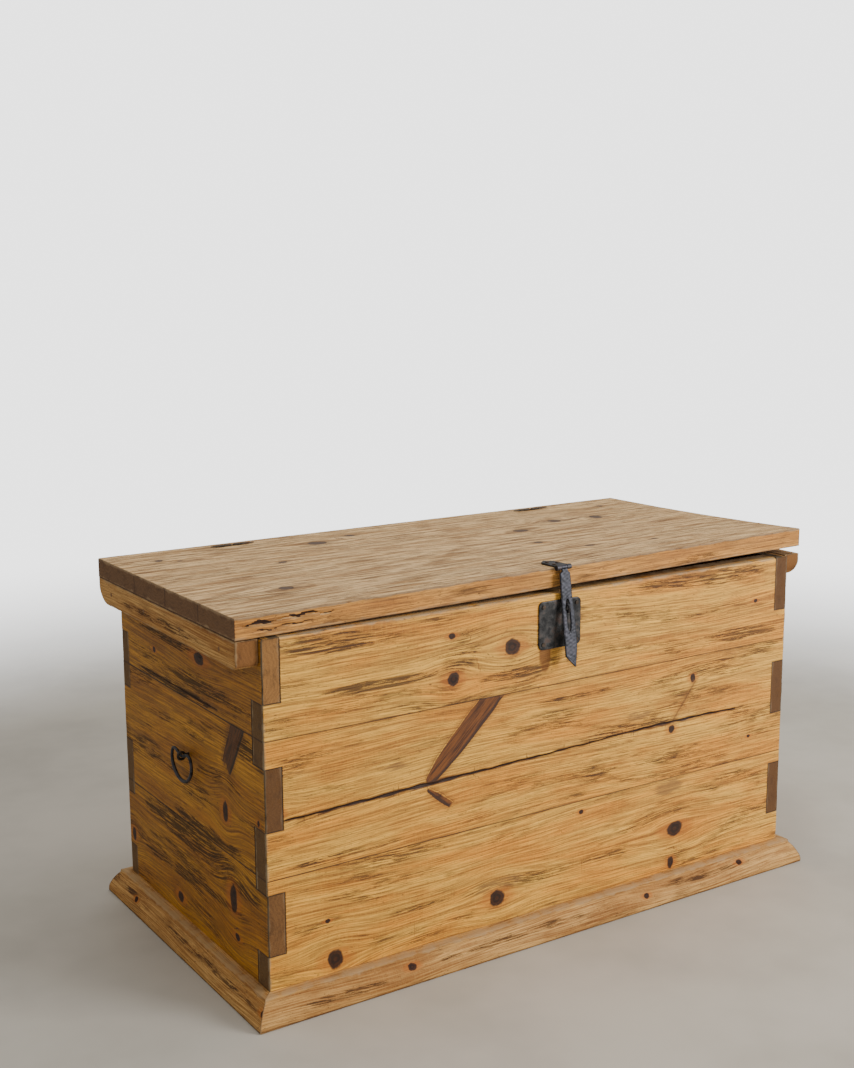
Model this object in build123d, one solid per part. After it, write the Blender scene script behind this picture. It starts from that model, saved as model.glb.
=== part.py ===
from build123d import *
import os
from math import cos, radians, sin, tan

# Old pine storage chest: finger-jointed boards, a plank lid that has warped at one corner,
# a mitred base moulding, cotter-pin hinges, a hasp with its staple, and a bail at each end.
# Millimetres. X runs along the chest, -Y is the front and +Z is up.
# The origin is on the floor, under the middle of the body.

# Body
BODY_LENGTH = 1080.0
BODY_DEPTH = 545.0
BODY_HEIGHT = 592.0
FRONT_THICKNESS = 36.0
BACK_THICKNESS = 30.0
END_THICKNESS = 30.0
LOWER_BOARD_WIDTH = 220.0
MIDDLE_BOARD_WIDTH = 217.0
FINGER_COUNT = 6

# Lid
LID_THICKNESS = 33.0
LID_OVERHANG = 37.0
LID_FRONT_SETBACK = 7.5
LID_BACK_SETBACK = 0.5
LID_PLANK_WIDTHS = (125.0, 124.0, 126.0)
LID_GAP = 0.5
LID_FRONT_GAP_LEFT = 1.5
LID_FRONT_GAP_RIGHT = 14.0

# Cleats under the ends of the lid
CLEAT_HEIGHT = 43.0
CLEAT_ROUND = 34.0
CLEAT_ROUND_FRONT_LEFT = 11.0

# Base moulding
BASE_HEIGHT = 45.0
BASE_PROJECTION = 33.5
BASE_BAND_WIDTH = 15.5
BASE_BAND_FALL = 2.0
BASE_STEP = 5.0
BASE_FOOT_HEIGHT = 13.0
BASE_FOOT_SLOPE = 1.8
BASE_BULGE = 2.0

# Floor inside
BEARER_WIDTH = 45.0
BEARER_HEIGHT = 26.0
BEARER_FLOOR_GAP = 2.0
BEARER_INSET = 60.0
FLOOR_THICKNESS = 18.0
FLOOR_BOARD_COUNT = 4
FLOOR_EDGE_GAP = 1.0

# Dowels and nails
DOWEL_RADIUS = 5.0
DOWEL_LENGTH = 50.0
DOWEL_CLEARANCE = 0.1
DOWEL_PITCH = 240.0
NAIL_RADIUS = 1.5
NAIL_HEAD_RADIUS = 3.5
NAIL_HEAD_HEIGHT = 1.4
NAIL_CLEARANCE = 0.1
NAIL_EDGE = 55.0
BASE_NAIL_HEIGHT = 8.0
BASE_NAIL_GRIP = 24.0
FLOOR_NAIL_GRIP = 20.0
CLEAT_NAIL_GRIP = 22.0

# Cotter-pin hinges
HINGE_SPACING = 672.0
HINGE_AXIS_OFFSET = 11.0
HINGE_WIRE_RADIUS = 2.2
HINGE_BODY_EYE_RADIUS = 5.2
HINGE_LID_EYE_RADIUS = 6.2
HINGE_LEG_RADIUS = 3.2
HINGE_LEG_ANGLE = 40.0
HINGE_PRONG_SPAN = 86.0
LEG_CLEARANCE = 0.1
PRONG_SEAT_GAP = 0.1

# Bails at the ends
HANDLE_Y = -2.0
HANDLE_Z = 342.0
HANDLE_STAND_OFF = 13.0
HANDLE_WIRE_RADIUS = 3.0
HANDLE_HALF_WIDTH = 38.5
HANDLE_DROP = 42.0
HANDLE_RISE = 6.5
HANDLE_EYE_WIRE_RADIUS = 2.5
HANDLE_EYE_CLEARANCE = 0.4
HANDLE_LEG_RADIUS = 3.6
HANDLE_PRONG_SPAN = 52.0

# Hasp
HASP_X = 16.0
HASP_LEAN = 9.0
HASP_WIDTH = 25.0
HASP_TOP_WIDTH = 21.0
HASP_THICKNESS = 3.0
HASP_DROP = 166.0
HASP_POINT_LENGTH = 19.0
HASP_KNUCKLE_RADIUS = 4.5
HASP_KNUCKLE_LENGTH = 12.0
HASP_BARREL_LENGTH = 29.0
HASP_KNUCKLE_GAP = 0.5
HASP_PIN_RADIUS = 2.0
HASP_PIN_CLEARANCE = 0.06
HASP_BARREL_GAP = 0.5
HASP_SLOT_WIDTH = 8.0
HASP_SLOT_TOP = 52.0
HASP_SLOT_BOTTOM = 106.0
LEAF_LENGTH = 50.0
LEAF_THICKNESS = 2.5
LEAF_SEAT_GAP = 0.35
LEAF_NAIL_LENGTH = 26.0

# Staple and its plate
PLATE_WIDTH = 87.0
PLATE_HEIGHT = 81.0
PLATE_THICKNESS = 2.5
PLATE_CORNER_RADIUS = 9.0
PLATE_X = 7.0
PLATE_NAIL_INSET = 9.0
PLATE_NAIL_LENGTH = 24.0
PLATE_BELOW_EDGE = 52.0
STAPLE_WIRE_RADIUS = 2.5
STAPLE_HEIGHT = 17.0
STAPLE_BELOW_BARREL = 66.5
STAPLE_PAST_STRAP = 5.5
STAPLE_GRIP = 28.0

# Planes and edges that several pieces share
X_END = BODY_LENGTH / 2
Y_FRONT = -BODY_DEPTH / 2
Y_BACK = BODY_DEPTH / 2
X_INSIDE = X_END - END_THICKNESS
Y_FRONT_INSIDE = Y_FRONT + FRONT_THICKNESS
Y_BACK_INSIDE = Y_BACK - BACK_THICKNESS
LID_X = X_END + LID_OVERHANG
LID_Y_FRONT = Y_FRONT + LID_FRONT_SETBACK
LID_Y_BACK = Y_BACK - LID_BACK_SETBACK
TIERS = {
    "lower": (0.0, LOWER_BOARD_WIDTH),
    "middle": (LOWER_BOARD_WIDTH, LOWER_BOARD_WIDTH + MIDDLE_BOARD_WIDTH),
    "upper": (LOWER_BOARD_WIDTH + MIDDLE_BOARD_WIDTH, BODY_HEIGHT),
}
SEAMS = [TIERS["lower"][1], TIERS["middle"][1]]
FINGER = BODY_HEIGHT / FINGER_COUNT
SIDES = {"left": -1, "right": 1}
nodes = {}


# ---- plain shapes -----------------------------------------------------------------------


def block(x, y, z):
    """Box that fills the three ranges, each a pair in any order."""
    sizes = [abs(high - low) for low, high in (x, y, z)]
    centre = [(low + high) / 2 for low, high in (x, y, z)]
    return Pos(*centre) * Box(*sizes)


def rod(start, end, radius):
    """Round bar between two points."""
    run = Vector(*end) - Vector(*start)
    base = (Align.CENTER, Align.CENTER, Align.MIN)
    return Plane(Vector(*start), z_dir=run) * Cylinder(radius, run.length, align=base)


def ring(centre, normal, radius, wire_radius):
    """Closed ring of round wire."""
    return Plane(Vector(*centre), z_dir=Vector(*normal)) * Torus(radius, wire_radius)


def spread(low, high, count):
    """Evenly spaced values with the first and last on the ends."""
    return [low + (high - low) * step / (count - 1) for step in range(count)]


def along(low, high):
    """Dowel places along a board, evenly spaced and near the dowel pitch."""
    count = max(2, round((high - low) / DOWEL_PITCH))
    margin = (high - low) / (2 * count)
    return spread(low + margin, high - margin, count)


def nail(head, direction, length, clearance=0.0):
    """Flat-headed nail with its head's underside on the point head, driven along direction."""
    head, direction = Vector(*head), Vector(*direction).normalized()
    shank = rod(head, head + direction * length, NAIL_RADIUS + clearance)
    top = rod(head, head - direction * NAIL_HEAD_HEIGHT, NAIL_HEAD_RADIUS + clearance)
    return shank + top


def nails(places, direction, length):
    """Row of equal nails as separate solids, and the cutter for their holes."""
    group = Compound([nail(place, direction, length) for place in places])
    holes = [nail(place, direction, length, NAIL_CLEARANCE) for place in places]
    return group, holes


def cut(name, holes):
    """Take a list of cutters out of a finished node."""
    for hole in holes:
        nodes[name] = nodes[name] - hole


# ---- body boards ------------------------------------------------------------------------


def end_fingers():
    """Height ranges in which the end boards come through to the front and back."""
    tops = [BODY_HEIGHT - 2 * step * FINGER for step in range(FINGER_COUNT // 2)]
    return [(top - FINGER, top) for top in tops]


def long_fingers():
    """Height ranges in which the front and back boards come through to the ends."""
    return [(low - FINGER, low) for low, high in end_fingers()]


def long_board(y, z):
    """Front or back board between two heights, notched where the end fingers come through."""
    board = block((-X_END, X_END), y, z)
    for low, high in end_fingers():
        if low < z[1] and high > z[0]:
            for side in (-1, 1):
                board -= block((side * X_INSIDE, side * X_END), y, (low, high))
    return board


def end_board(side, z):
    """End board between two heights, notched where the front and back fingers come through."""
    x = (side * X_INSIDE, side * X_END)
    board = block(x, (Y_FRONT, Y_BACK), z)
    for low, high in long_fingers():
        if low < z[1] and high > z[0]:
            board -= block(x, (Y_FRONT, Y_FRONT_INSIDE), (low, high))
            board -= block(x, (Y_BACK_INSIDE, Y_BACK), (low, high))
    return board


for tier, z_range in TIERS.items():
    nodes[f"front_board_{tier}"] = long_board((Y_FRONT, Y_FRONT_INSIDE), z_range)
    nodes[f"back_board_{tier}"] = long_board((Y_BACK_INSIDE, Y_BACK), z_range)
    for side_name, side in SIDES.items():
        nodes[f"{side_name}_board_{tier}"] = end_board(side, z_range)


def board_dowels(wall, places):
    """Upright dowels across both seams of one wall, at the given (x, y) places."""
    dowels = []
    for x, y in places:
        for seam, tiers in zip(SEAMS, (("lower", "middle"), ("middle", "upper"))):
            ends = (x, y, seam - DOWEL_LENGTH / 2), (x, y, seam + DOWEL_LENGTH / 2)
            dowels.append(rod(*ends, DOWEL_RADIUS))
            for tier in tiers:
                cut(f"{wall}_board_{tier}", [rod(*ends, DOWEL_RADIUS + DOWEL_CLEARANCE)])
    nodes[f"{wall}_dowels"] = Compound(dowels)


for wall, y in (("front", (Y_FRONT + Y_FRONT_INSIDE) / 2), ("back", (Y_BACK + Y_BACK_INSIDE) / 2)):
    board_dowels(wall, [(x, y) for x in along(-X_INSIDE, X_INSIDE)])
for side_name, side in SIDES.items():
    x = side * (X_INSIDE + X_END) / 2
    board_dowels(side_name, [(x, y) for y in along(Y_FRONT_INSIDE, Y_BACK_INSIDE)])


# ---- base moulding ----------------------------------------------------------------------


def base_profile():
    """Section of the moulding, outward along the sketch's X and up along its Y."""
    slope_top = (BASE_BAND_WIDTH + 0.5, BASE_HEIGHT - BASE_BAND_FALL - BASE_STEP)
    slope_foot = (BASE_PROJECTION - BASE_FOOT_SLOPE, BASE_FOOT_HEIGHT)
    middle = tuple((a + b) / 2 + BASE_BULGE / 2 for a, b in zip(slope_top, slope_foot))
    outline = Polyline(
        slope_foot,
        (BASE_PROJECTION, 0),
        (0, 0),
        (0, BASE_HEIGHT),
        (BASE_BAND_WIDTH, BASE_HEIGHT - BASE_BAND_FALL),
        slope_top,
    )
    return make_face([*outline.edges(), ThreePointArc(slope_top, middle, slope_foot)])


def base_side(axis_length, half_depth, turn):
    """One mitred length of moulding, made as the front one and turned about Z."""
    reach = axis_length / 2 + BASE_PROJECTION
    plane = Plane((reach, -half_depth, 0), x_dir=(0, -1, 0), z_dir=(-1, 0, 0))
    bar = extrude(plane * base_profile(), 2 * reach)
    corners = [
        (-reach, -half_depth - BASE_PROJECTION),
        (reach, -half_depth - BASE_PROJECTION),
        (axis_length / 2, -half_depth),
        (-axis_length / 2, -half_depth),
    ]
    mitre = extrude(make_face(Polyline(*corners, close=True)), BASE_HEIGHT)
    return Rot(Z=turn) * (bar & mitre)


nodes["base_moulding_front"] = base_side(BODY_LENGTH, BODY_DEPTH / 2, 0)
nodes["base_moulding_right"] = base_side(BODY_DEPTH, BODY_LENGTH / 2, 90)
nodes["base_moulding_back"] = base_side(BODY_LENGTH, BODY_DEPTH / 2, 180)
nodes["base_moulding_left"] = base_side(BODY_DEPTH, BODY_LENGTH / 2, -90)


def base_nails():
    """Nails through the foot of the moulding into the lowest boards."""
    depth = BASE_PROJECTION - BASE_FOOT_SLOPE - NAIL_HEAD_HEIGHT
    length = depth + BASE_NAIL_GRIP
    made = []
    for wall, y, way in (("front", Y_FRONT, 1), ("back", Y_BACK, -1)):
        xs = spread(-X_END + NAIL_EDGE, X_END - NAIL_EDGE, 6)
        places = [(x, y - way * depth, BASE_NAIL_HEIGHT) for x in xs]
        made.append((wall, *nails(places, (0, way, 0), length)))
    for side_name, side in SIDES.items():
        ys = spread(Y_FRONT + NAIL_EDGE, Y_BACK - NAIL_EDGE, 3)
        places = [(side * (X_END + depth), y, BASE_NAIL_HEIGHT) for y in ys]
        made.append((side_name, *nails(places, (-side, 0, 0), length)))
    for wall, group, holes in made:
        cut(f"base_moulding_{wall}", holes)
        cut(f"{wall}_board_lower", holes)
    nodes["base_moulding_nails"] = Compound([n for wall, g, holes in made for n in g.solids()])


# ---- floor ------------------------------------------------------------------------------


def floor():
    """Lengthwise floor boards nailed down to three cross bearers."""
    low, high = BEARER_FLOOR_GAP, BEARER_FLOOR_GAP + BEARER_HEIGHT
    reach = X_INSIDE - BEARER_INSET
    for name, x in (("left", -reach), ("centre", 0.0), ("right", reach)):
        x_range = (x - BEARER_WIDTH / 2, x + BEARER_WIDTH / 2)
        nodes[f"floor_bearer_{name}"] = block(x_range, (Y_FRONT_INSIDE, Y_BACK_INSIDE), (low, high))
    front, back = Y_FRONT_INSIDE + FLOOR_EDGE_GAP, Y_BACK_INSIDE - FLOOR_EDGE_GAP
    width = (back - front) / FLOOR_BOARD_COUNT
    x_range = (-X_INSIDE + FLOOR_EDGE_GAP, X_INSIDE - FLOOR_EDGE_GAP)
    all_nails = []
    for index in range(FLOOR_BOARD_COUNT):
        y_range = (front + index * width, front + (index + 1) * width)
        name = f"floor_board_{index + 1}"
        nodes[name] = block(x_range, y_range, (high, high + FLOOR_THICKNESS))
        ys = [y_range[0] + width / 4, y_range[1] - width / 4]
        top = high + FLOOR_THICKNESS - NAIL_HEAD_HEIGHT
        for bearer, x in (("left", -reach), ("centre", 0.0), ("right", reach)):
            group, holes = nails([(x, y, top) for y in ys], (0, 0, -1), top - high + FLOOR_NAIL_GRIP)
            cut(name, holes)
            cut(f"floor_bearer_{bearer}", holes)
            all_nails += group.solids()
    nodes["floor_nails"] = Compound(all_nails)


# ---- cleats -----------------------------------------------------------------------------


def cleats():
    """Rails on the body's ends, just under the lid, with their lower corners rounded."""
    low = BODY_HEIGHT - CLEAT_HEIGHT
    ends = (LID_Y_FRONT, LID_Y_BACK)
    made = []
    for side_name, side in SIDES.items():
        rail = block((side * X_END, side * LID_X), ends, (low, BODY_HEIGHT))
        bottom = rail.edges().filter_by(Axis.X).group_by(Axis.Z)[0].sort_by(Axis.Y)
        front_round = CLEAT_ROUND_FRONT_LEFT if side < 0 else CLEAT_ROUND
        limit = CLEAT_HEIGHT - 1
        rail = fillet(bottom[0], min(front_round, limit))
        bottom = rail.edges().filter_by(Axis.X).group_by(Axis.Z)[0].sort_by(Axis.Y)
        nodes[f"end_cleat_{side_name}"] = fillet(bottom[-1], min(CLEAT_ROUND, limit))
        ys = spread(ends[0] + NAIL_EDGE, ends[1] - NAIL_EDGE, 4)
        x = side * (LID_X - NAIL_HEAD_HEIGHT)
        places = [(x, y, low + CLEAT_HEIGHT / 2) for y in ys]
        length = LID_OVERHANG - NAIL_HEAD_HEIGHT + CLEAT_NAIL_GRIP
        group, holes = nails(places, (-side, 0, 0), length)
        cut(f"end_cleat_{side_name}", holes)
        cut(f"{side_name}_board_upper", holes)
        made += group.solids()
    nodes["cleat_nails"] = Compound(made)


# ---- lid --------------------------------------------------------------------------------


def lid_edges():
    """Y of the lid's front edge, its seams and its back edge, from the front."""
    edges = [LID_Y_FRONT]
    for width in LID_PLANK_WIDTHS:
        edges.append(edges[-1] + width)
    return [*edges, LID_Y_BACK]


def lid_underside(x, y):
    """Height of the lid's underside.

    The front edge has lifted, and most at the right. The lift grows with the square of the
    distance from the back edge, and runs straight across each plank between its seams.
    """
    along_lid = (x + LID_X) / (2 * LID_X)
    front_lift = LID_FRONT_GAP_LEFT + (LID_FRONT_GAP_RIGHT - LID_FRONT_GAP_LEFT) * along_lid - LID_GAP

    def lift(edge):
        return front_lift * ((LID_Y_BACK - edge) / (LID_Y_BACK - LID_Y_FRONT)) ** 2

    edges = lid_edges()
    y0, y1 = next(pair for pair in zip(edges, edges[1:]) if y <= pair[1] or pair[1] == LID_Y_BACK)
    return BODY_HEIGHT + LID_GAP + lift(y0) + (lift(y1) - lift(y0)) * (y - y0) / (y1 - y0)


def lid_plank(y0, y1):
    """Plank with straight edges that run from the left end's slope to the right end's."""

    def section(x):
        low0, low1 = lid_underside(x, y0), lid_underside(x, y1)
        corners = [(x, y0, low0), (x, y1, low1), (x, y1, low1 + LID_THICKNESS)]
        corners.append((x, y0, low0 + LID_THICKNESS))
        return make_face(Polyline(*corners, close=True))

    return loft([section(-LID_X), section(LID_X)], ruled=True)


def lid():
    """Four planks edge to edge, with dowels hidden across the seams."""
    edges = lid_edges()
    for index, (y0, y1) in enumerate(zip(edges, edges[1:])):
        nodes[f"lid_plank_{index + 1}"] = lid_plank(y0, y1)
    dowels = []
    for index, seam in enumerate(edges[1:-1]):
        for x in along(-LID_X, LID_X):
            z = lid_underside(x, seam) + LID_THICKNESS / 2
            ends = (x, seam - DOWEL_LENGTH / 2, z), (x, seam + DOWEL_LENGTH / 2, z)
            dowels.append(rod(*ends, DOWEL_RADIUS))
            hole = rod(*ends, DOWEL_RADIUS + DOWEL_CLEARANCE)
            cut(f"lid_plank_{index + 1}", [hole])
            cut(f"lid_plank_{index + 2}", [hole])
    nodes["lid_dowels"] = Compound(dowels)


# ---- hinges -----------------------------------------------------------------------------


def hinges():
    """Two pairs of linked cotter pins. The body's eyes are centred on the hinge axis."""
    axis_y = Y_BACK + HINGE_AXIS_OFFSET
    slope = tan(radians(HINGE_LEG_ANGLE))
    run = Vector(0, -cos(radians(HINGE_LEG_ANGLE)), sin(radians(HINGE_LEG_ANGLE)))
    for side_name, side in SIDES.items():
        x = side * HINGE_SPACING / 2
        axis = Vector(x, axis_y, BODY_HEIGHT)
        half_span = Vector(HINGE_PRONG_SPAN / 2, 0, 0)

        leg_y = axis_y - (BODY_HEIGHT + LID_THICKNESS - axis.Z) / slope
        prong_z = lid_underside(x, leg_y) + LID_THICKNESS + HINGE_WIRE_RADIUS + PRONG_SEAT_GAP
        prong = Vector(x, axis_y - (prong_z - BODY_HEIGHT) / slope, prong_z)
        eye = axis + run * HINGE_LID_EYE_RADIUS
        across = Vector(1, 0, 0).cross(run)
        leg_start = axis + run * (2 * HINGE_LID_EYE_RADIUS)
        pin = ring(eye, across, HINGE_LID_EYE_RADIUS, HINGE_WIRE_RADIUS)
        pin += rod(leg_start, prong, HINGE_LEG_RADIUS)
        pin += rod(prong - half_span, prong + half_span, HINGE_WIRE_RADIUS)
        nodes[f"hinge_pin_lid_{side_name}"] = pin
        hole = rod(leg_start, prong + run * HINGE_LEG_RADIUS, HINGE_LEG_RADIUS + LEG_CLEARANCE)
        cut(f"lid_plank_{len(LID_PLANK_WIDTHS) + 1}", [hole])

        down = Vector(0, run.Y, -run.Z)
        prong_y = Y_BACK_INSIDE - HINGE_WIRE_RADIUS - PRONG_SEAT_GAP
        prong = Vector(x, prong_y, BODY_HEIGHT - (axis_y - prong_y) * slope)
        leg_start = axis + down * HINGE_BODY_EYE_RADIUS
        pin = ring(axis, (1, 0, 0), HINGE_BODY_EYE_RADIUS, HINGE_WIRE_RADIUS)
        pin += rod(leg_start, prong, HINGE_LEG_RADIUS)
        pin += rod(prong - half_span, prong + half_span, HINGE_WIRE_RADIUS)
        nodes[f"hinge_pin_body_{side_name}"] = pin
        hole = rod(leg_start, prong + down * HINGE_LEG_RADIUS, HINGE_LEG_RADIUS + LEG_CLEARANCE)
        cut("back_board_upper", [hole])


# ---- bails at the ends ------------------------------------------------------------------


def bail_outline():
    """Points round the bail, level across the eye and drawn down to a blunt point."""
    half = [
        (7.0, 0.0),
        (HANDLE_HALF_WIDTH * 0.45, HANDLE_RISE),
        (HANDLE_HALF_WIDTH * 0.92, HANDLE_RISE),
        (HANDLE_HALF_WIDTH * 1.05, -HANDLE_DROP * 0.45),
        (HANDLE_HALF_WIDTH * 0.45, -HANDLE_DROP),
    ]
    return half + [(-y, z) for y, z in reversed(half)]


def corner_radii(points):
    """Largest bend that fits each corner: 0.45 of the shorter run over the half turn's tangent."""
    radii = []
    for index, here in enumerate(points):
        before, after = points[index - 1], points[(index + 1) % len(points)]
        inward, outward = Vector(*here) - Vector(*before), Vector(*after) - Vector(*here)
        turn = radians(inward.get_angle(outward))
        radii.append(0.45 * min(inward.length, outward.length) / tan(turn / 2))
    return radii


def handles():
    """A bail that hangs through a cotter pin's eye at the middle of each end."""
    for side_name, side in SIDES.items():
        x = side * (X_END + HANDLE_STAND_OFF)
        plane = Plane((x, HANDLE_Y, HANDLE_Z), x_dir=(0, 1, 0), z_dir=(1, 0, 0))
        points = bail_outline()
        path = plane * FilletPolyline(*points, radius=corner_radii(points), close=True)
        flat = path.edges().filter_by(GeomType.LINE).sort_by(Axis.Z)[0]
        section = Plane(flat @ 0.5, z_dir=flat % 0.5) * Circle(HANDLE_WIRE_RADIUS)
        start, end = flat @ 0.5, flat @ 1
        others = [edge for edge in path.edges() if edge != flat]
        loop = Wire([Edge.make_line(start, end), *others, Edge.make_line(flat @ 0, start)])
        nodes[f"handle_{side_name}"] = sweep(section, path=loop)

        eye_radius = HANDLE_WIRE_RADIUS + HANDLE_EYE_CLEARANCE + HANDLE_EYE_WIRE_RADIUS
        inner_x = side * (X_INSIDE - HANDLE_EYE_WIRE_RADIUS - PRONG_SEAT_GAP)
        prong = Vector(inner_x, HANDLE_Y, HANDLE_Z)
        leg_start = (x - side * eye_radius, HANDLE_Y, HANDLE_Z)
        half_span = Vector(0, 0, HANDLE_PRONG_SPAN / 2)
        pin = ring((x, HANDLE_Y, HANDLE_Z), (0, 1, 0), eye_radius, HANDLE_EYE_WIRE_RADIUS)
        pin += rod(leg_start, prong, HANDLE_LEG_RADIUS)
        pin += rod(prong - half_span, prong + half_span, HANDLE_EYE_WIRE_RADIUS)
        nodes[f"handle_eye_{side_name}"] = pin
        past = prong - Vector(side * HANDLE_LEG_RADIUS, 0, 0)
        for tier, (low, high) in TIERS.items():
            if low < HANDLE_Z + HANDLE_LEG_RADIUS and high > HANDLE_Z - HANDLE_LEG_RADIUS:
                cut(f"{side_name}_board_{tier}", [rod(leg_start, past, HANDLE_LEG_RADIUS + LEG_CLEARANCE)])


# ---- hasp -------------------------------------------------------------------------------


def hasp_axis():
    """Middle of the hasp's pin, level with the lid's top and just in front of its edge."""
    z = lid_underside(HASP_X, LID_Y_FRONT) + LID_THICKNESS
    return Vector(HASP_X, LID_Y_FRONT - HASP_KNUCKLE_RADIUS - HASP_BARREL_GAP, z)


def strap_frame():
    """Frame of the leaning strap: X across, Y up along it, Z out of its front face."""
    lean = radians(HASP_LEAN)
    return Plane(hasp_axis(), x_dir=(1, 0, 0), z_dir=(0, -cos(lean), sin(lean)))


def knuckle(x0, x1):
    """Tube round the hasp's pin between two places along it."""
    centre = hasp_axis()
    ends = (x0, centre.Y, centre.Z), (x1, centre.Y, centre.Z)
    bore = rod(*ends, HASP_PIN_RADIUS + HASP_PIN_CLEARANCE)
    return rod(*ends, HASP_KNUCKLE_RADIUS) - bore


def hasp_strap():
    """Strap with a middle knuckle, a long slot for the staple and a lopsided point."""
    half, top_half = HASP_WIDTH / 2, HASP_TOP_WIDTH / 2
    neck = HASP_KNUCKLE_LENGTH / 2
    shoulder = HASP_KNUCKLE_RADIUS + HASP_KNUCKLE_GAP + 2
    outline = Polyline(
        (-neck, 0),
        (neck, 0),
        (neck, -shoulder),
        (top_half, -shoulder - 3),
        (top_half, -HASP_SLOT_TOP),
        (half, -HASP_SLOT_TOP - 22),
        (half, -HASP_DROP + 1.9 * HASP_POINT_LENGTH),
        (half - 3, -HASP_DROP + 0.9 * HASP_POINT_LENGTH),
        (half - 7, -HASP_DROP),
        (-half, -HASP_DROP + HASP_POINT_LENGTH),
        (-top_half - 1, -HASP_SLOT_TOP),
        (-top_half, -shoulder - 3),
        (-neck, -shoulder),
        close=True,
    )
    frame = strap_frame().offset(HASP_KNUCKLE_RADIUS - HASP_THICKNESS)
    strap = extrude(frame * make_face(outline), HASP_THICKNESS)
    slot_length = HASP_SLOT_BOTTOM - HASP_SLOT_TOP
    slot = SlotOverall(slot_length, HASP_SLOT_WIDTH, rotation=90)
    slot = frame * (Pos(0, -(HASP_SLOT_TOP + HASP_SLOT_BOTTOM) / 2) * slot)
    strap -= extrude(slot, HASP_THICKNESS)
    tube = knuckle(HASP_X - neck, HASP_X + neck)
    centre = hasp_axis()
    ends = (HASP_X - neck, centre.Y, centre.Z), (HASP_X + neck, centre.Y, centre.Z)
    nodes["hasp_strap"] = (strap - rod(*ends, HASP_KNUCKLE_RADIUS)) + tube


def hasp_leaf():
    """Leaf nailed on the lid, with a knuckle each side of the strap's, and the pin."""
    centre = hasp_axis()
    y1 = lid_edges()[1]
    fall = (lid_underside(HASP_X, y1) - lid_underside(HASP_X, LID_Y_FRONT)) / (y1 - LID_Y_FRONT)
    seat = centre + Vector(0, 0, LEAF_SEAT_GAP)
    plane = Plane(seat, x_dir=(1, 0, 0), z_dir=Vector(0, -fall, 1))
    half = HASP_BARREL_LENGTH / 2
    neck = HASP_KNUCKLE_LENGTH / 2 + HASP_KNUCKLE_GAP
    edge = LID_Y_FRONT - centre.Y
    outline = Polyline(
        (-half, 0),
        (-neck, 0),
        (-neck, edge),
        (neck, edge),
        (neck, 0),
        (half, 0),
        (half * 0.9, edge + LEAF_LENGTH * 0.75),
        (0, edge + LEAF_LENGTH),
        (-half * 0.9, edge + LEAF_LENGTH * 0.75),
        close=True,
    )
    leaf = extrude(plane * make_face(outline), LEAF_THICKNESS)
    leaf -= rod((HASP_X - half, centre.Y, centre.Z), (HASP_X + half, centre.Y, centre.Z), HASP_KNUCKLE_RADIUS)
    leaf += knuckle(HASP_X - half, HASP_X - neck)
    leaf += knuckle(HASP_X + neck, HASP_X + half)
    nodes["hasp_leaf"] = leaf
    cap = 1.5
    shaft = rod((HASP_X - half, centre.Y, centre.Z), (HASP_X + half, centre.Y, centre.Z), HASP_PIN_RADIUS)
    for side in (-1, 1):
        x = HASP_X + side * half
        shaft += rod((x, centre.Y, centre.Z), (x + side * cap, centre.Y, centre.Z), HASP_PIN_RADIUS + cap)
    nodes["hasp_pin"] = shaft

    normal = plane.z_dir
    spots = [(-half * 0.5, 10), (half * 0.5, 20), (-half * 0.3, 33)]
    places = [plane.from_local_coords((u, edge + v, LEAF_THICKNESS)) for u, v in spots]
    group, holes = nails(places, -normal, LEAF_NAIL_LENGTH)
    cut("hasp_leaf", holes)
    cut("lid_plank_1", holes)
    nodes["hasp_leaf_nails"] = group


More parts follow.
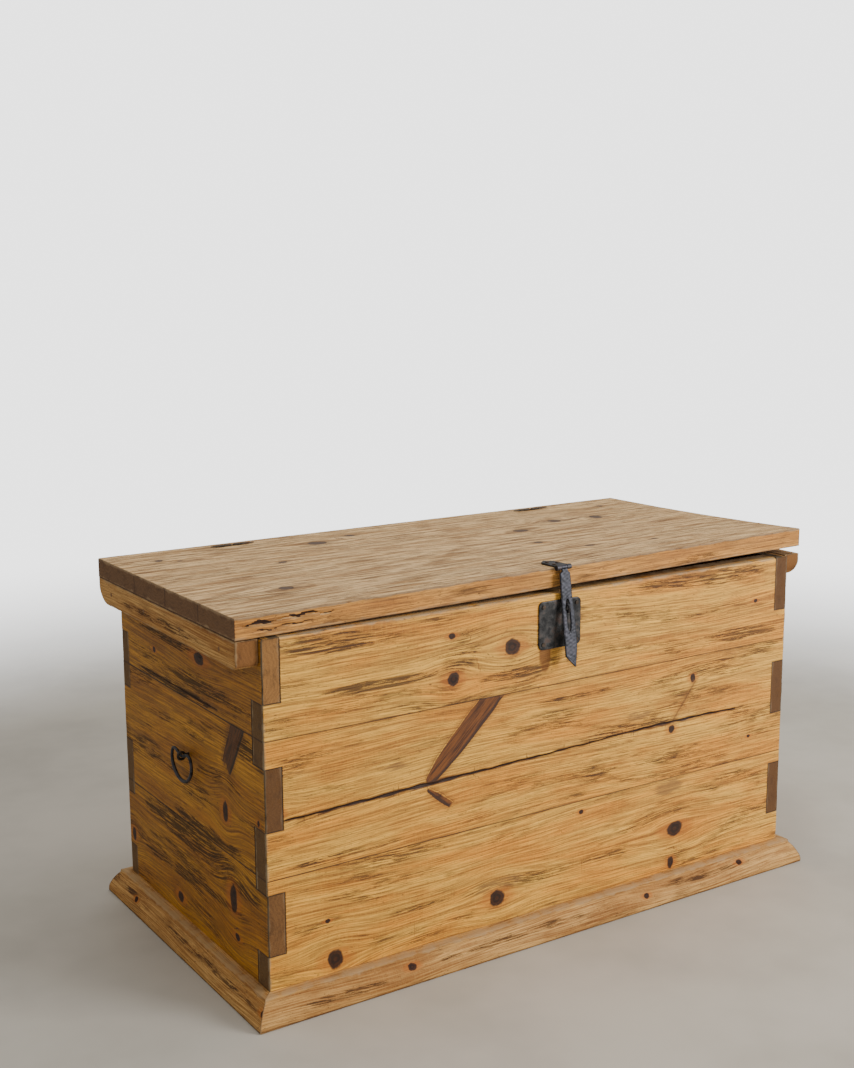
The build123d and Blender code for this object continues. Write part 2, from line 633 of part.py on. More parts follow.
def staple():
    """Square plate on the front with a wire staple driven through it."""
    centre_z = BODY_HEIGHT - PLATE_BELOW_EDGE
    face = Y_FRONT - PLATE_THICKNESS
    plane = Plane((PLATE_X, Y_FRONT, centre_z), x_dir=(1, 0, 0), z_dir=(0, -1, 0))
    sketch = RectangleRounded(PLATE_WIDTH, PLATE_HEIGHT, PLATE_CORNER_RADIUS)
    nodes["staple_plate"] = extrude(plane * sketch, PLATE_THICKNESS)

    axis = hasp_axis()
    middle_z = axis.Z - STAPLE_BELOW_BARREL
    strap_y = axis.Y - HASP_KNUCKLE_RADIUS + HASP_THICKNESS - STAPLE_BELOW_BARREL * tan(radians(HASP_LEAN))
    tip_y = strap_y - HASP_THICKNESS - STAPLE_PAST_STRAP + STAPLE_WIRE_RADIUS
    bend = STAPLE_HEIGHT / 2 - STAPLE_WIRE_RADIUS
    root_y = Y_FRONT + STAPLE_GRIP
    side_y = tip_y + bend
    upper = [(HASP_X, root_y, middle_z + bend), (HASP_X, side_y, middle_z + bend)]
    lower = [(HASP_X, side_y, middle_z - bend), (HASP_X, root_y, middle_z - bend)]
    arc = ThreePointArc(upper[1], (HASP_X, tip_y, middle_z), lower[0])
    path = Wire([Edge.make_line(*upper), arc.edge(), Edge.make_line(*lower)])
    section = Plane(upper[0], z_dir=(0, -1, 0)) * Circle(STAPLE_WIRE_RADIUS)
    nodes["staple"] = sweep(section, path=path)
    holes = [rod(upper[0], upper[1], STAPLE_WIRE_RADIUS + LEG_CLEARANCE)]
    holes.append(rod(lower[1], lower[0], STAPLE_WIRE_RADIUS + LEG_CLEARANCE))

    reach_x, reach_z = PLATE_WIDTH / 2 - PLATE_NAIL_INSET, PLATE_HEIGHT / 2 - PLATE_NAIL_INSET
    corners = [(u, v) for u in (-reach_x, reach_x) for v in (-reach_z, reach_z)]
    places = [(PLATE_X + u, face, centre_z + v) for u, v in corners]
    group, nail_holes = nails(places, (0, 1, 0), PLATE_NAIL_LENGTH)
    cut("staple_plate", holes + nail_holes)
    for tier, (low, high) in TIERS.items():
        if high > centre_z - PLATE_HEIGHT / 2 and low < centre_z + PLATE_HEIGHT / 2:
            cut(f"front_board_{tier}", holes + nail_holes)
    nodes["plate_nails"] = group


# ---- build ------------------------------------------------------------------------------

base_nails()
floor()
cleats()
lid()
hinges()
handles()
hasp_strap()
hasp_leaf()
staple()

os.makedirs("parts", exist_ok=True)
for name, shape in nodes.items():
    export_step(Compound(shape.solids()), f"parts/{name}.step")
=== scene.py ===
"""A low pine storage chest: finger-jointed walls, plank lid, moulded base, forged hasp, cotter pins and bails.

Places below are in millimetres, in the part's own frame; meshes are written in metres.
"""

import math

import bpy
import numpy as np
from mathutils import Matrix, Vector


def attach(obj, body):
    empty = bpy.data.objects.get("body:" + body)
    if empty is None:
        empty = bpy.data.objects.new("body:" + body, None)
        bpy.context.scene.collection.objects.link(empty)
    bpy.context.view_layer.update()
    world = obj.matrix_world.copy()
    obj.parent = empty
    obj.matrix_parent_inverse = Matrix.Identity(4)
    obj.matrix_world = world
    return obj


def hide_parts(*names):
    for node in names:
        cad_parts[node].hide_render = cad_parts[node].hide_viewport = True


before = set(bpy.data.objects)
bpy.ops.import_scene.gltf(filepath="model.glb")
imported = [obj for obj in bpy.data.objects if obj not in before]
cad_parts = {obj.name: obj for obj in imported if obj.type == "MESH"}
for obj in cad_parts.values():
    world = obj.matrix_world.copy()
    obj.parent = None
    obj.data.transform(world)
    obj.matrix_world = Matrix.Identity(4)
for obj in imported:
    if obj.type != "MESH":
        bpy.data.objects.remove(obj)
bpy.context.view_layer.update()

MM = 0.001
X_END, Y_FRONT, Y_BACK, Z_TOP = 540.0, -272.5, 272.5, 592.0
BESIDE = (0.35, 0.9, 1.7, 2.7, 4.2)  # closer grid lines next to every edge of an outline
CLOSEST = 0.12  # grid lines nearer than this to the last one are dropped
FAR = 40.0  # a mark's distance where nothing is near
CREASE = 35.0  # degrees between faces past which an edge is sharp
NO_KNOT, NO_SPIKE = (9.0, 9.0, 0.0), (-9.0, 99.0, 1.0)


# ---- arrays ---------------------------------------------------------------------------------


def smooth(x, low, high):
    """Eased step: 0 below low, 1 above high, 3t^2 - 2t^3 between."""
    t = np.clip((x - low) / (high - low), 0.0, 1.0)
    return t * t * (3.0 - 2.0 * t)


def ripple(u, v, seed, along, across, waves=6):
    """Sum of sine waves, -1 to 1 or so, with seeded directions, `along` and `across` being their usual lengths."""
    rng = np.random.default_rng(seed)
    total = np.zeros(np.broadcast(u, v).shape)
    for _ in range(waves):
        ku = 2 * np.pi / (along * rng.uniform(0.6, 1.8)) * rng.choice((-1, 1))
        kv = 2 * np.pi / (across * rng.uniform(0.6, 1.8))
        total += np.sin(ku * u + kv * v + rng.uniform(0, 2 * np.pi))
    return total / math.sqrt(waves) / 1.5


def lines(stops, step, extra=()):
    """Grid lines: even steps between an outline's own coordinates, and closer ones beside each of those."""
    stops = np.unique(np.round(stops, 4))
    parts = [stops, np.array(extra, float)]
    for low, high in zip(stops[:-1], stops[1:]):
        near = np.array([b for b in BESIDE if b < 0.4 * (high - low)] or [0.0])
        count = max(1, int(round((high - low - 2 * near[-1]) / step)))
        parts += [low + near, high - near, np.linspace(low + near[-1], high - near[-1], count + 1)]
    found = np.unique(np.round(np.concatenate(parts), 3))
    keep = np.concatenate(([True], np.diff(found) > CLOSEST)) | np.isin(found, np.round(stops, 3))
    return found[keep]


def filled(rects, u, v):
    """Which grid cells have their middle inside one of the rectangles (u0, u1, v0, v1)."""
    mu, mv = (u[:-1] + u[1:])[:, None] / 2, (v[:-1] + v[1:])[None, :] / 2
    return np.any([(mu > a) & (mu < b) & (mv > c) & (mv < d) for a, b, c, d in rects], axis=0)


def outline(rects):
    """Straight runs round the union of the rectangles, as rows u0, v0, u1, v1."""
    u = np.unique([r[:2] for r in rects])
    v = np.unique([r[2:] for r in rects])
    full = np.pad(filled(rects, u, v), 1)
    runs = [(u[i], v[j], u[i], v[j + 1]) for i, j in np.argwhere(full[:-1, 1:-1] != full[1:, 1:-1])]
    runs += [(u[i], v[j], u[i + 1], v[j]) for i, j in np.argwhere(full[1:-1, :-1] != full[1:-1, 1:])]
    return np.array(runs)


def away(runs, u, v):
    """Distance of each point from each run, runs first."""
    r = runs.reshape((len(runs), 4) + (1,) * np.ndim(u))
    du = np.maximum(np.maximum(r[:, 0] - u, u - r[:, 2]), 0)
    dv = np.maximum(np.maximum(r[:, 1] - v, v - r[:, 3]), 0)
    return np.hypot(du, dv)


def make_piece(name, points, faces, finish, body, slot, nodes, marks=None):
    """One mesh from points in mm and faces, with its marks, finish, body and the CAD nodes it stands for."""
    mesh = bpy.data.meshes.new(name)
    mesh.from_pydata((np.asarray(points, float) * MM).tolist(), [], faces)
    mesh.polygons.foreach_set("use_smooth", np.ones(len(mesh.polygons), bool))
    mesh.update()
    mesh.set_sharp_from_angle(angle=math.radians(CREASE))
    for key, value in (marks or {}).items():
        value = np.asarray(value, np.float32)
        if value.ndim == 2:
            mesh.attributes.new(key, "FLOAT_VECTOR", "POINT").data.foreach_set("vector", value.ravel())
        else:
            mesh.attributes.new(key, "FLOAT", "POINT").data.foreach_set("value", value)
    mesh.materials.append(finish)
    obj = bpy.data.objects.new(name, mesh)
    bpy.context.scene.collection.objects.link(obj)
    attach(obj, body)
    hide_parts(*nodes)


def slab(u, v, mask, front, thick, place, levels, warp=None, flip=False, dent=None):
    """Closed sheet over the filled cells of a grid. Front points lie `front` below the face, back points
    `thick` below it, and every outline edge gets a wall with rows at these shares of the way. Returns points,
    faces, and u, v, depth and a wall flag per point: 1 on a wall, a half where wall and face meet, 0 on a face.
    `dent(u, v, share)` moves wall points inwards, in the plane of the sheet."""
    nu, nv = len(u), len(v)
    U, V = np.meshgrid(u, v, indexing="ij")
    number = np.arange(nu * nv).reshape(nu, nv)
    quads = np.stack([number[:-1, :-1], number[1:, :-1], number[1:, 1:], number[:-1, 1:]], -1)[mask]
    full = np.pad(mask, 1)
    own, below, above = full[1:-1, 1:-1], full[1:-1, :-2], full[1:-1, 2:]
    before, after = full[:-2, 1:-1], full[2:, 1:-1]
    edges = np.concatenate([
        np.stack([number[:-1, :-1], number[1:, :-1]], -1)[own & ~below],
        np.stack([number[1:, :-1], number[1:, 1:]], -1)[own & ~after],
        np.stack([number[1:, 1:], number[:-1, 1:]], -1)[own & ~above],
        np.stack([number[:-1, 1:], number[:-1, :-1]], -1)[own & ~before],
    ])
    rim = np.unique(edges)
    rank = np.full(nu * nv, -1)
    rank[rim] = np.arange(len(rim))
    total = nu * nv
    ring = [edges] + [2 * total + k * len(rim) + rank[edges] for k in range(len(levels))] + [total + edges]
    walls = [np.stack([a[:, 0], b[:, 0], b[:, 1], a[:, 1]], -1) for a, b in zip(ring[:-1], ring[1:])]
    faces = np.concatenate([quads, (total + quads)[:, ::-1]] + walls)
    fu, fv, fd = U.ravel(), V.ravel(), front.ravel()
    back = np.full(total, float(thick))
    wu, wv = np.tile(fu[rim], len(levels)), np.tile(fv[rim], len(levels))
    wd = np.concatenate([fd[rim] * (1 - s) + thick * s for s in levels])
    ws = np.repeat(levels, len(rim))
    allu, allv = np.concatenate([fu, fu, wu]), np.concatenate([fv, fv, wv])
    alld = np.concatenate([fd, back, wd])
    wall = np.concatenate([np.zeros(2 * total), np.ones(len(wu))])
    wall[rim] = 0.5
    wall[total + rim] = 0.5
    used = np.unique(faces)
    renumber = np.full(len(allu), -1)
    renumber[used] = np.arange(len(used))
    faces = renumber[faces]
    if dent is not None:
        inward = np.zeros((total, 2))
        run = np.stack([fu[edges[:, 1]] - fu[edges[:, 0]], fv[edges[:, 1]] - fv[edges[:, 0]]], -1)
        run /= np.linalg.norm(run, axis=1, keepdims=True)
        side = np.stack([-run[:, 1], run[:, 0]], -1)
        np.add.at(inward, edges[:, 0], side)
        np.add.at(inward, edges[:, 1], side)
        inward /= np.maximum(np.linalg.norm(inward, axis=1, keepdims=True), 1e-9)
        push = dent(wu, wv, ws)
        shift = np.tile(inward[rim], (len(levels), 1)) * push[:, None]
        moved_u, moved_v = allu.copy(), allv.copy()
        moved_u[2 * total:] += shift[:, 0]
        moved_v[2 * total:] += shift[:, 1]
    else:
        moved_u, moved_v = allu, allv
    if warp is not None:
        moved_u, moved_v = warp(moved_u, moved_v)
        allu, allv = (moved_u, moved_v) if dent is None else warp(allu, allv)
    points = place(moved_u, moved_v, alld)[used]
    if flip:
        faces = faces[:, ::-1]
    return points, faces.tolist(), allu[used], allv[used], alld[used], wall[used]


def tube(path, radius, binormal, sides=14, closed=False):
    """Round bar along a plane path: a circle of the given radius at each point, in the plane of the binormal
    and the path's own normal. Open ends close on a middle point drawn a quarter of the radius out."""
    path = np.asarray(path, float)
    n = len(path)
    if closed:
        tangent = np.roll(path, -1, 0) - np.roll(path, 1, 0)
    else:
        tangent = np.gradient(path, axis=0)
    tangent /= np.linalg.norm(tangent, axis=1, keepdims=True)
    binormal = np.asarray(binormal, float) / np.linalg.norm(binormal)
    normal = np.cross(binormal, tangent)
    normal /= np.linalg.norm(normal, axis=1, keepdims=True)
    a = np.linspace(0, 2 * np.pi, sides, endpoint=False)[None, :, None]
    r = np.broadcast_to(np.asarray(radius, float), (n,))[:, None, None]
    rings = path[:, None] + r * (np.cos(a) * normal[:, None] + np.sin(a) * binormal)
    index = np.arange(n * sides).reshape(n, sides)
    nxt = np.roll(index, -1, 1)
    rows = np.arange(n) if closed else np.arange(n - 1)
    after = (rows + 1) % n
    faces = np.stack([index[rows], nxt[rows], nxt[after], index[after]], -1).reshape(-1, 4)[:, ::-1].tolist()
    points = rings.reshape(-1, 3)
    if not closed:
        first = path[0] - tangent[0] * r[0, 0, 0] * 0.25
        last = path[-1] + tangent[-1] * r[-1, 0, 0] * 0.25
        points = np.concatenate([points, [first, last]])
        faces += [[int(i), int(j), n * sides] for i, j in zip(index[0], nxt[0])]
        faces += [[int(j), int(i), n * sides + 1] for i, j in zip(index[-1], nxt[-1])]
    return points, faces


def merged(*parts):
    """Several closed shells as one list of points and faces."""
    points, faces, start = [], [], 0
    for p, f in parts:
        points.append(p)
        faces += [[int(i) + start for i in face] for face in f]
        start += len(p)
    return np.concatenate(points), faces


# ---- shader graphs --------------------------------------------------------------------------


def rgb(r, g, b):
    """A linear colour from the usual 0-255 display values."""
    c = np.array([r, g, b]) / 255.0
    lin = np.where(c <= 0.04045, c / 12.92, ((c + 0.055) / 1.055) ** 2.4)
    return (*map(float, lin), 1.0)


WHITE, BLACK = (1, 1, 1, 1), (0, 0, 0, 1)


class Graph:
    """Short calls for adding shader nodes to one tree."""

    def __init__(self, tree):
        self.tree = tree

    def feed(self, socket, value):
        """Links a socket into an input, or sets the input to a plain value; None leaves it alone."""
        if isinstance(value, bpy.types.NodeSocket):
            self.tree.links.new(value, socket)
        elif value is not None:
            socket.default_value = value

    def node(self, kind, feeds=(), **settings):
        """A new node with its settings made and its inputs fed."""
        made = self.tree.nodes.new(kind)
        for key, value in settings.items():
            setattr(made, key, value)
        for key, value in dict(feeds).items():
            self.feed(made.inputs[key], value)
        return made

    def math(self, operation, a, b=None):
        """One Math node on one or two values."""
        feeds = {0: a} if b is None else {0: a, 1: b}
        return self.node("ShaderNodeMath", feeds, operation=operation).outputs[0]

    def add(self, a, b):
        return self.math("ADD", a, b)

    def sub(self, a, b):
        return self.math("SUBTRACT", a, b)

    def mul(self, a, b):
        return self.math("MULTIPLY", a, b)

    def step(self, x, low, high, start=0.0, end=1.0):
        """Eased ramp from `start` at x = low to `end` at x = high."""
        feeds = {"Value": x, "From Min": low, "From Max": high, "To Min": start, "To Max": end}
        return self.node("ShaderNodeMapRange", feeds, interpolation_type="SMOOTHSTEP").outputs[0]

    def mix(self, factor, a, b):
        """Colour a where the factor is 0, b where it is 1; sockets 6 and 7 and output 2 are the colour ones."""
        return self.node("ShaderNodeMix", {0: factor, 6: a, 7: b}, data_type="RGBA").outputs[2]

    def split(self, vector):
        """A vector's three parts."""
        made = self.node("ShaderNodeSeparateXYZ", {0: vector})
        return made.outputs[0], made.outputs[1], made.outputs[2]

    def join(self, x, y, z):
        """Three values as a vector."""
        return self.node("ShaderNodeCombineXYZ", {0: x, 1: y, 2: z}).outputs[0]

    def scaled(self, vector, x, y, z):
        """A vector with each part times its own number."""
        return self.node("ShaderNodeVectorMath", {0: vector, 1: (x, y, z)}, operation="MULTIPLY").outputs[0]

    def noise(self, vector, detail, rough, scale=1.0):
        """Smooth noise about 0.5, with `detail` finer layers, each `rough` times as strong as the last."""
        feeds = {"Vector": vector, "Scale": scale, "Detail": detail, "Roughness": rough}
        return self.node("ShaderNodeTexNoise", feeds).outputs[0]

    def fibres(self, grain, along, across, detail, rough):
        """Noise drawn out along the grain; along and across are its frequencies per millimetre."""
        return self.noise(self.scaled(grain, along, across, across), detail, rough)

    def relief(self, height, strength):
        """The normal of a bump node, for heights up to 0.6 mm."""
        feeds = {"Height": height, "Strength": strength, "Distance": 0.6 * MM}
        return self.node("ShaderNodeBump", feeds).outputs[0]

    def attribute(self, name, vector=False):
        """One of the marks that make_piece writes into the mesh."""
        made = self.node("ShaderNodeAttribute", attribute_name=name, attribute_type="GEOMETRY")
        return made.outputs["Vector" if vector else "Fac"]


def group(name, inputs, outputs, build):
    """A shader node group: inputs are (name, kind, default), outputs (name, kind)."""
    tree = bpy.data.node_groups.new(name, "ShaderNodeTree")
    for label, kind, default in inputs:
        made = tree.interface.new_socket(label, in_out="INPUT", socket_type="NodeSocket" + kind)
        made.default_value = default
    for label, kind in outputs:
        tree.interface.new_socket(label, in_out="OUTPUT", socket_type="NodeSocket" + kind)
    graph = Graph(tree)
    given = tree.nodes.new("NodeGroupInput")
    end = tree.nodes.new("NodeGroupOutput")
    results = build(graph, {label: given.outputs[label] for label, _, _ in inputs})
    for (label, _), value in zip(outputs, results):
        graph.feed(end.inputs[label], value)
    return tree


def use(graph, tree, **feeds):
    """Adds a node group to a graph and returns its outputs by name."""
    made = graph.tree.nodes.new("ShaderNodeGroup")
    made.node_tree = tree
    for key, value in feeds.items():
        graph.feed(made.inputs[key], value)
    return made.outputs


def build_pine(g, given):
    """Old pine as layers of noise drawn out along the first grain coordinate, each cut at a level: broad tones,
    bands, growth lines, strands and fibres, then dark open grain where streaks or dirt allow it, and ticks."""
    along, across, deep = g.split(given["Grain"])
    seed = given["Seed"]
    moves = ((along, 1371.0), (across, 617.0), (deep, 233.0))
    p = g.join(*[g.add(part, g.mul(seed, distance)) for part, distance in moves])
    wander = g.fibres(p, 0.0030, 0.010, 2, 0.5)
    x, y, z = g.split(p)
    bent = g.add(y, g.mul(g.sub(wander, 0.5), 11.0))
    flow = g.join(x, bent, z)
    broad = g.fibres(flow, 0.0045, 0.022, 3, 0.55)
    blotch = g.fibres(p, 0.012, 0.030, 2, 0.6)
    bands = g.fibres(flow, 0.0022, 0.045, 3, 0.62)
    rings = g.fibres(flow, 0.0028, 0.42, 2, 0.6)
    fibre = g.fibres(flow, 0.016, 0.62, 3, 0.7)
    saw = g.noise(g.scaled(p, 0.55, 0.05, 0.3), 1, 0.5)
    colour = g.mix(g.step(broad, 0.36, 0.66), given["Light"], given["Middle"])
    colour = g.mix(g.mul(g.step(blotch, 0.52, 0.74), 0.42), colour, given["Red"])
    late = g.step(rings, 0.47, 0.64)
    colour = g.mix(g.mul(late, g.mul(given["Lines"], 0.55)), colour, given["Dark"])
    colour = g.mix(g.mul(g.step(bands, 0.46, 0.70), 0.24), colour, given["Dark"])
    strands = g.fibres(flow, 0.0085, 0.34, 3, 0.7)
    colour = g.mix(g.mul(g.step(strands, 0.50, 0.58), 0.42), colour, given["Dark"])
    colour = g.mix(g.mul(g.step(strands, 0.50, 0.30), 0.30), colour, given["Light"])
    colour = g.mix(g.step(fibre, 0.42, 0.64, 0.0, 0.50), colour, given["Dark"])
    colour = g.mix(g.mul(g.step(saw, 0.45, 0.7), 0.10), colour, given["Light"])
    ragged = g.fibres(flow, 0.012, 0.055, 3, 0.6)
    cover = g.step(g.add(given["Streaks"], g.mul(g.sub(ragged, 0.5), 1.5)), 0.20, 0.62)
    wild = g.step(g.fibres(p, 0.006, 0.030, 3, 0.6), 0.49, 0.66)
    cover = g.math("MAXIMUM", cover, g.mul(wild, given["Dirt"]))
    dash = g.fibres(flow, 0.021, 0.40, 4, 0.75)
    open_grain = g.mul(g.step(dash, 0.485, 0.52), g.math("MAXIMUM", cover, 0.16))
    long_line = g.fibres(flow, 0.0060, 0.24, 3, 0.65)
    named_line = g.mul(g.step(long_line, 0.50, 0.53), g.step(given["Streaks"], 0.45, 0.85))
    open_grain = g.math("MAXIMUM", open_grain, named_line)
    colour = g.mix(g.mul(open_grain, given["Depth"]), colour, given["Deep"])
    veil = g.mul(cover, g.step(ragged, 0.42, 0.66))
    colour = g.mix(g.mul(veil, 0.16), colour, given["Deep"])
    tick = g.fibres(p, 0.11, 0.62, 2, 0.7)
    ticks = g.mul(g.step(tick, 0.63, 0.71), 0.8)
    colour = g.mix(ticks, colour, given["Deep"])
    hollow = g.add(g.mul(late, 0.10), g.add(g.mul(open_grain, 0.75), g.mul(ticks, 0.6)))
    height = g.sub(g.mul(fibre, 0.35), hollow)
    rough = g.add(0.50, g.add(g.mul(fibre, 0.12), g.mul(open_grain, 0.18)))
    return colour, rough, height


PINE = group(
    "old_pine",
    [("Grain", "Vector", (0, 0, 0)), ("Seed", "Float", 0.0), ("Streaks", "Float", 0.0), ("Dirt", "Float", 0.5),
     ("Lines", "Float", 1.0), ("Depth", "Float", 0.84), ("Light", "Color", WHITE), ("Middle", "Color", WHITE),
     ("Red", "Color", WHITE), ("Dark", "Color", BLACK), ("Deep", "Color", BLACK)],
    [("Color", "Color"), ("Roughness", "Float"), ("Height", "Float")],
    build_pine,
)


def build_knot(g, given):
    """Knot from its own round coordinates: dark ringed middle, darker rim, halo drawn out along the grain."""
    x, y, seed = g.split(given["Knot"])
    wobble = g.noise(g.join(g.add(g.mul(x, 1.1), g.mul(seed, 9.1)), g.mul(y, 1.1), seed), 2, 0.6)
    far = g.math("SQRT", g.add(g.mul(x, x), g.mul(y, y)))
    r = g.add(far, g.mul(g.sub(wobble, 0.5), 0.55))
    core = g.step(r, 0.86, 1.02, 1.0, 0.0)
    rings = g.math("SINE", g.mul(r, 11.0))
    drawn = g.math("SQRT", g.add(g.mul(g.mul(x, x), 0.30), g.mul(g.mul(y, y), 0.9)))
    halo = g.mul(g.step(g.add(drawn, g.mul(g.sub(wobble, 0.5), 0.7)), 0.75, 1.65, 1.0, 0.0), 0.55)
    rim = g.mul(g.step(r, 0.78, 0.94), g.step(r, 0.98, 1.12, 1.0, 0.0))
    colour = g.mix(halo, given["Wood"], given["Halo"])
    ringed = g.step(g.add(rings, g.mul(g.sub(wobble, 0.5), 4.0)), -0.6, 1.4, 0.0, 0.07)
    inner = g.mix(ringed, given["Core"], given["Halo"])
    colour = g.mix(g.mul(core, 0.97), colour, inner)
    colour = g.mix(g.mul(rim, 0.7), colour, given["Rim"])
    return (colour,)


KNOT = group(
    "knot",
    [("Knot", "Vector", NO_KNOT), ("Wood", "Color", WHITE), ("Halo", "Color", WHITE), ("Core", "Color", BLACK),
     ("Rim", "Color", BLACK)],
    [("Color", "Color")],
    build_knot,
)


def build_spike(g, given):
    """Spike knot from distance along it (0 to 1), distance across it and its half-width: brown, lined, with a
    dark border and a pale line inside it on one side."""
    t, w, half = g.split(given["Spike"])
    wobble = g.noise(g.join(g.mul(t, 7.0), g.mul(w, 0.06), half), 3, 0.6)
    opening = g.math("POWER", g.math("MAXIMUM", t, 0.001), given["Taper"])
    wide = g.mul(g.mul(half, g.sub(1.25, g.mul(t, 0.5))), opening)
    inside = g.sub(g.add(wide, g.mul(g.sub(wobble, 0.5), 5.0)), g.math("ABSOLUTE", w))
    ragged_t = g.add(t, g.mul(g.sub(wobble, 0.5), 0.35))
    far_end = g.step(ragged_t, 0.90, 1.02, 1.0, 0.0)
    mask = g.mul(g.step(inside, -0.4, 1.0), g.mul(g.step(t, 0.0, 0.02), far_end))
    fibres = g.noise(g.join(g.mul(t, 3.4), g.mul(w, 0.34), half), 3, 0.7)
    border = g.mul(mask, g.step(g.add(inside, g.mul(g.step(w, -1.0, 1.0), 5.0)), 3.6, 8.0, 1.0, 0.0))
    colour = g.mix(g.step(fibres, 0.36, 0.62), given["Core"], given["Halo"])
    colour = g.mix(g.mul(border, 0.88), colour, given["Rim"])
    around = g.mul(g.step(inside, -9.0, 0.0), g.mul(g.step(t, -0.02, 0.08), far_end))
    wood = g.mix(g.mul(around, 0.35), given["Wood"], given["Halo"])
    pale_line = g.mul(g.step(inside, 0.6, 1.4), g.step(inside, 2.4, 3.8, 1.0, 0.0))
    glow = g.mul(g.mul(g.step(w, 0.0, 2.0), mask), pale_line)
    colour = g.mix(g.mul(glow, 0.85), colour, given["Wood"])
    return (g.mix(g.mul(mask, g.step(half, 2.0, 8.0, 0.5, 1.0)), wood, colour),)


SPIKE = group(
    "spike_knot",
    [("Spike", "Vector", NO_SPIKE), ("Taper", "Float", 0.6), ("Wood", "Color", WHITE), ("Halo", "Color", WHITE),
     ("Core", "Color", BLACK), ("Rim", "Color", BLACK)],
    [("Color", "Color")],
    build_spike,
)


STRIP = 98.0


def build_end_grain(g, given):
    """Growth rings as a sine of the distance from a pith, one pith for each strip the board is glued from, with
    coarse pores and dark clouds."""
    _, across, deep = g.split(given["Grain"])
    seed = given["Seed"]
    side = g.add(across, g.mul(g.math("SINE", g.mul(seed, 12.9)), 30.0))
    down = g.add(deep, g.add(58.0, g.mul(g.math("SINE", g.mul(seed, 7.3)), 20.0)))
    base = g.join(side, down, g.mul(seed, 31.0))
    bend = g.noise(g.scaled(base, 0.03, 0.03, 0.1), 3, 0.6)
    cell = g.sub(side, g.mul(g.math("FLOOR", g.math("DIVIDE", side, STRIP)), STRIP))
    beside = g.sub(cell, STRIP / 2)
    far = g.math("SQRT", g.add(g.mul(beside, beside), g.mul(down, down)))
    ring = g.math("SINE", g.mul(g.add(far, g.mul(bend, 26.0)), 1.05))
    pores = g.noise(g.scaled(base, 0.9, 0.9, 0.9), 3, 0.7)
    cloud = g.noise(g.scaled(base, 0.045, 0.07, 0.1), 3, 0.6)
    colour = g.mix(g.step(ring, -0.4, 1.2, 0.0, 0.20), given["Light"], given["Dark"])
    colour = g.mix(g.step(pores, 0.40, 0.66, 0.0, 0.55), colour, given["Dark"])
    colour = g.mix(g.mul(g.step(cloud, 0.48, 0.75), 0.45), colour, given["Deep"])
    height = g.add(g.mul(pores, 0.5), g.mul(ring, 0.12))
    return colour, height


END_GRAIN = group(
    "end_grain",
    [("Grain", "Vector", (0, 0, 0)), ("Seed", "Float", 0.0), ("Light", "Color", WHITE),
     ("Dark", "Color", BLACK), ("Deep", "Color", BLACK)],
    [("Color", "Color"), ("Height", "Float")],
    build_end_grain,
)


def build_iron(g, given):
    """Forge-blackened iron: hammer facets, scale pits, a little rust and worn places, each cut out of noise."""
    p = given["Place"]
    facets = g.node("ShaderNodeTexVoronoi", {"Vector": p, "Scale": 150.0}, feature="SMOOTH_F1").outputs[0]
    cloud = g.noise(p, 4, 0.6, scale=70.0)
    fine = g.noise(p, 4, 0.65, scale=600.0)
    pits = g.step(g.noise(p, 3, 0.6, scale=330.0), 0.60, 0.74)
    rust = g.mul(g.step(g.add(cloud, g.mul(fine, 0.3)), 0.66, 0.84), given["Rust"])
    colour = g.mix(g.step(cloud, 0.35, 0.68), given["Black"], given["Worn"])
    colour = g.mix(g.mul(g.step(fine, 0.5, 0.75), 0.4), colour, given["Worn"])
    colour = g.mix(rust, colour, given["Brown"])
    rough = g.add(g.add(given["Rough"], g.mul(fine, 0.16)), g.mul(rust, 0.3))
    height = g.sub(g.add(g.mul(facets, 0.55), g.mul(cloud, 0.5)), g.add(g.mul(pits, 0.30), g.mul(fine, -0.12)))
    return colour, rough, height


IRON = group(
    "forged_iron",
    [("Place", "Vector", (0, 0, 0)), ("Rust", "Float", 0.3), ("Rough", "Float", 0.4), ("Black", "Color", BLACK),
     ("Worn", "Color", BLACK), ("Brown", "Color", BLACK)],
    [("Color", "Color"), ("Roughness", "Float"), ("Height", "Float")],
    build_iron,
)


def material(name):
    """A new material with a Principled shader: returns it, its graph and the shader."""
    made = bpy.data.materials.new(name)
    made.use_nodes = True
    shader = made.node_tree.nodes["Principled BSDF"]
    return made, Graph(made.node_tree), shader


CRACK_SHADE_BROWN, BARE_DEEP, RUST_BROWN = rgb(44, 22, 13), rgb(92, 64, 42), rgb(92, 56, 36)


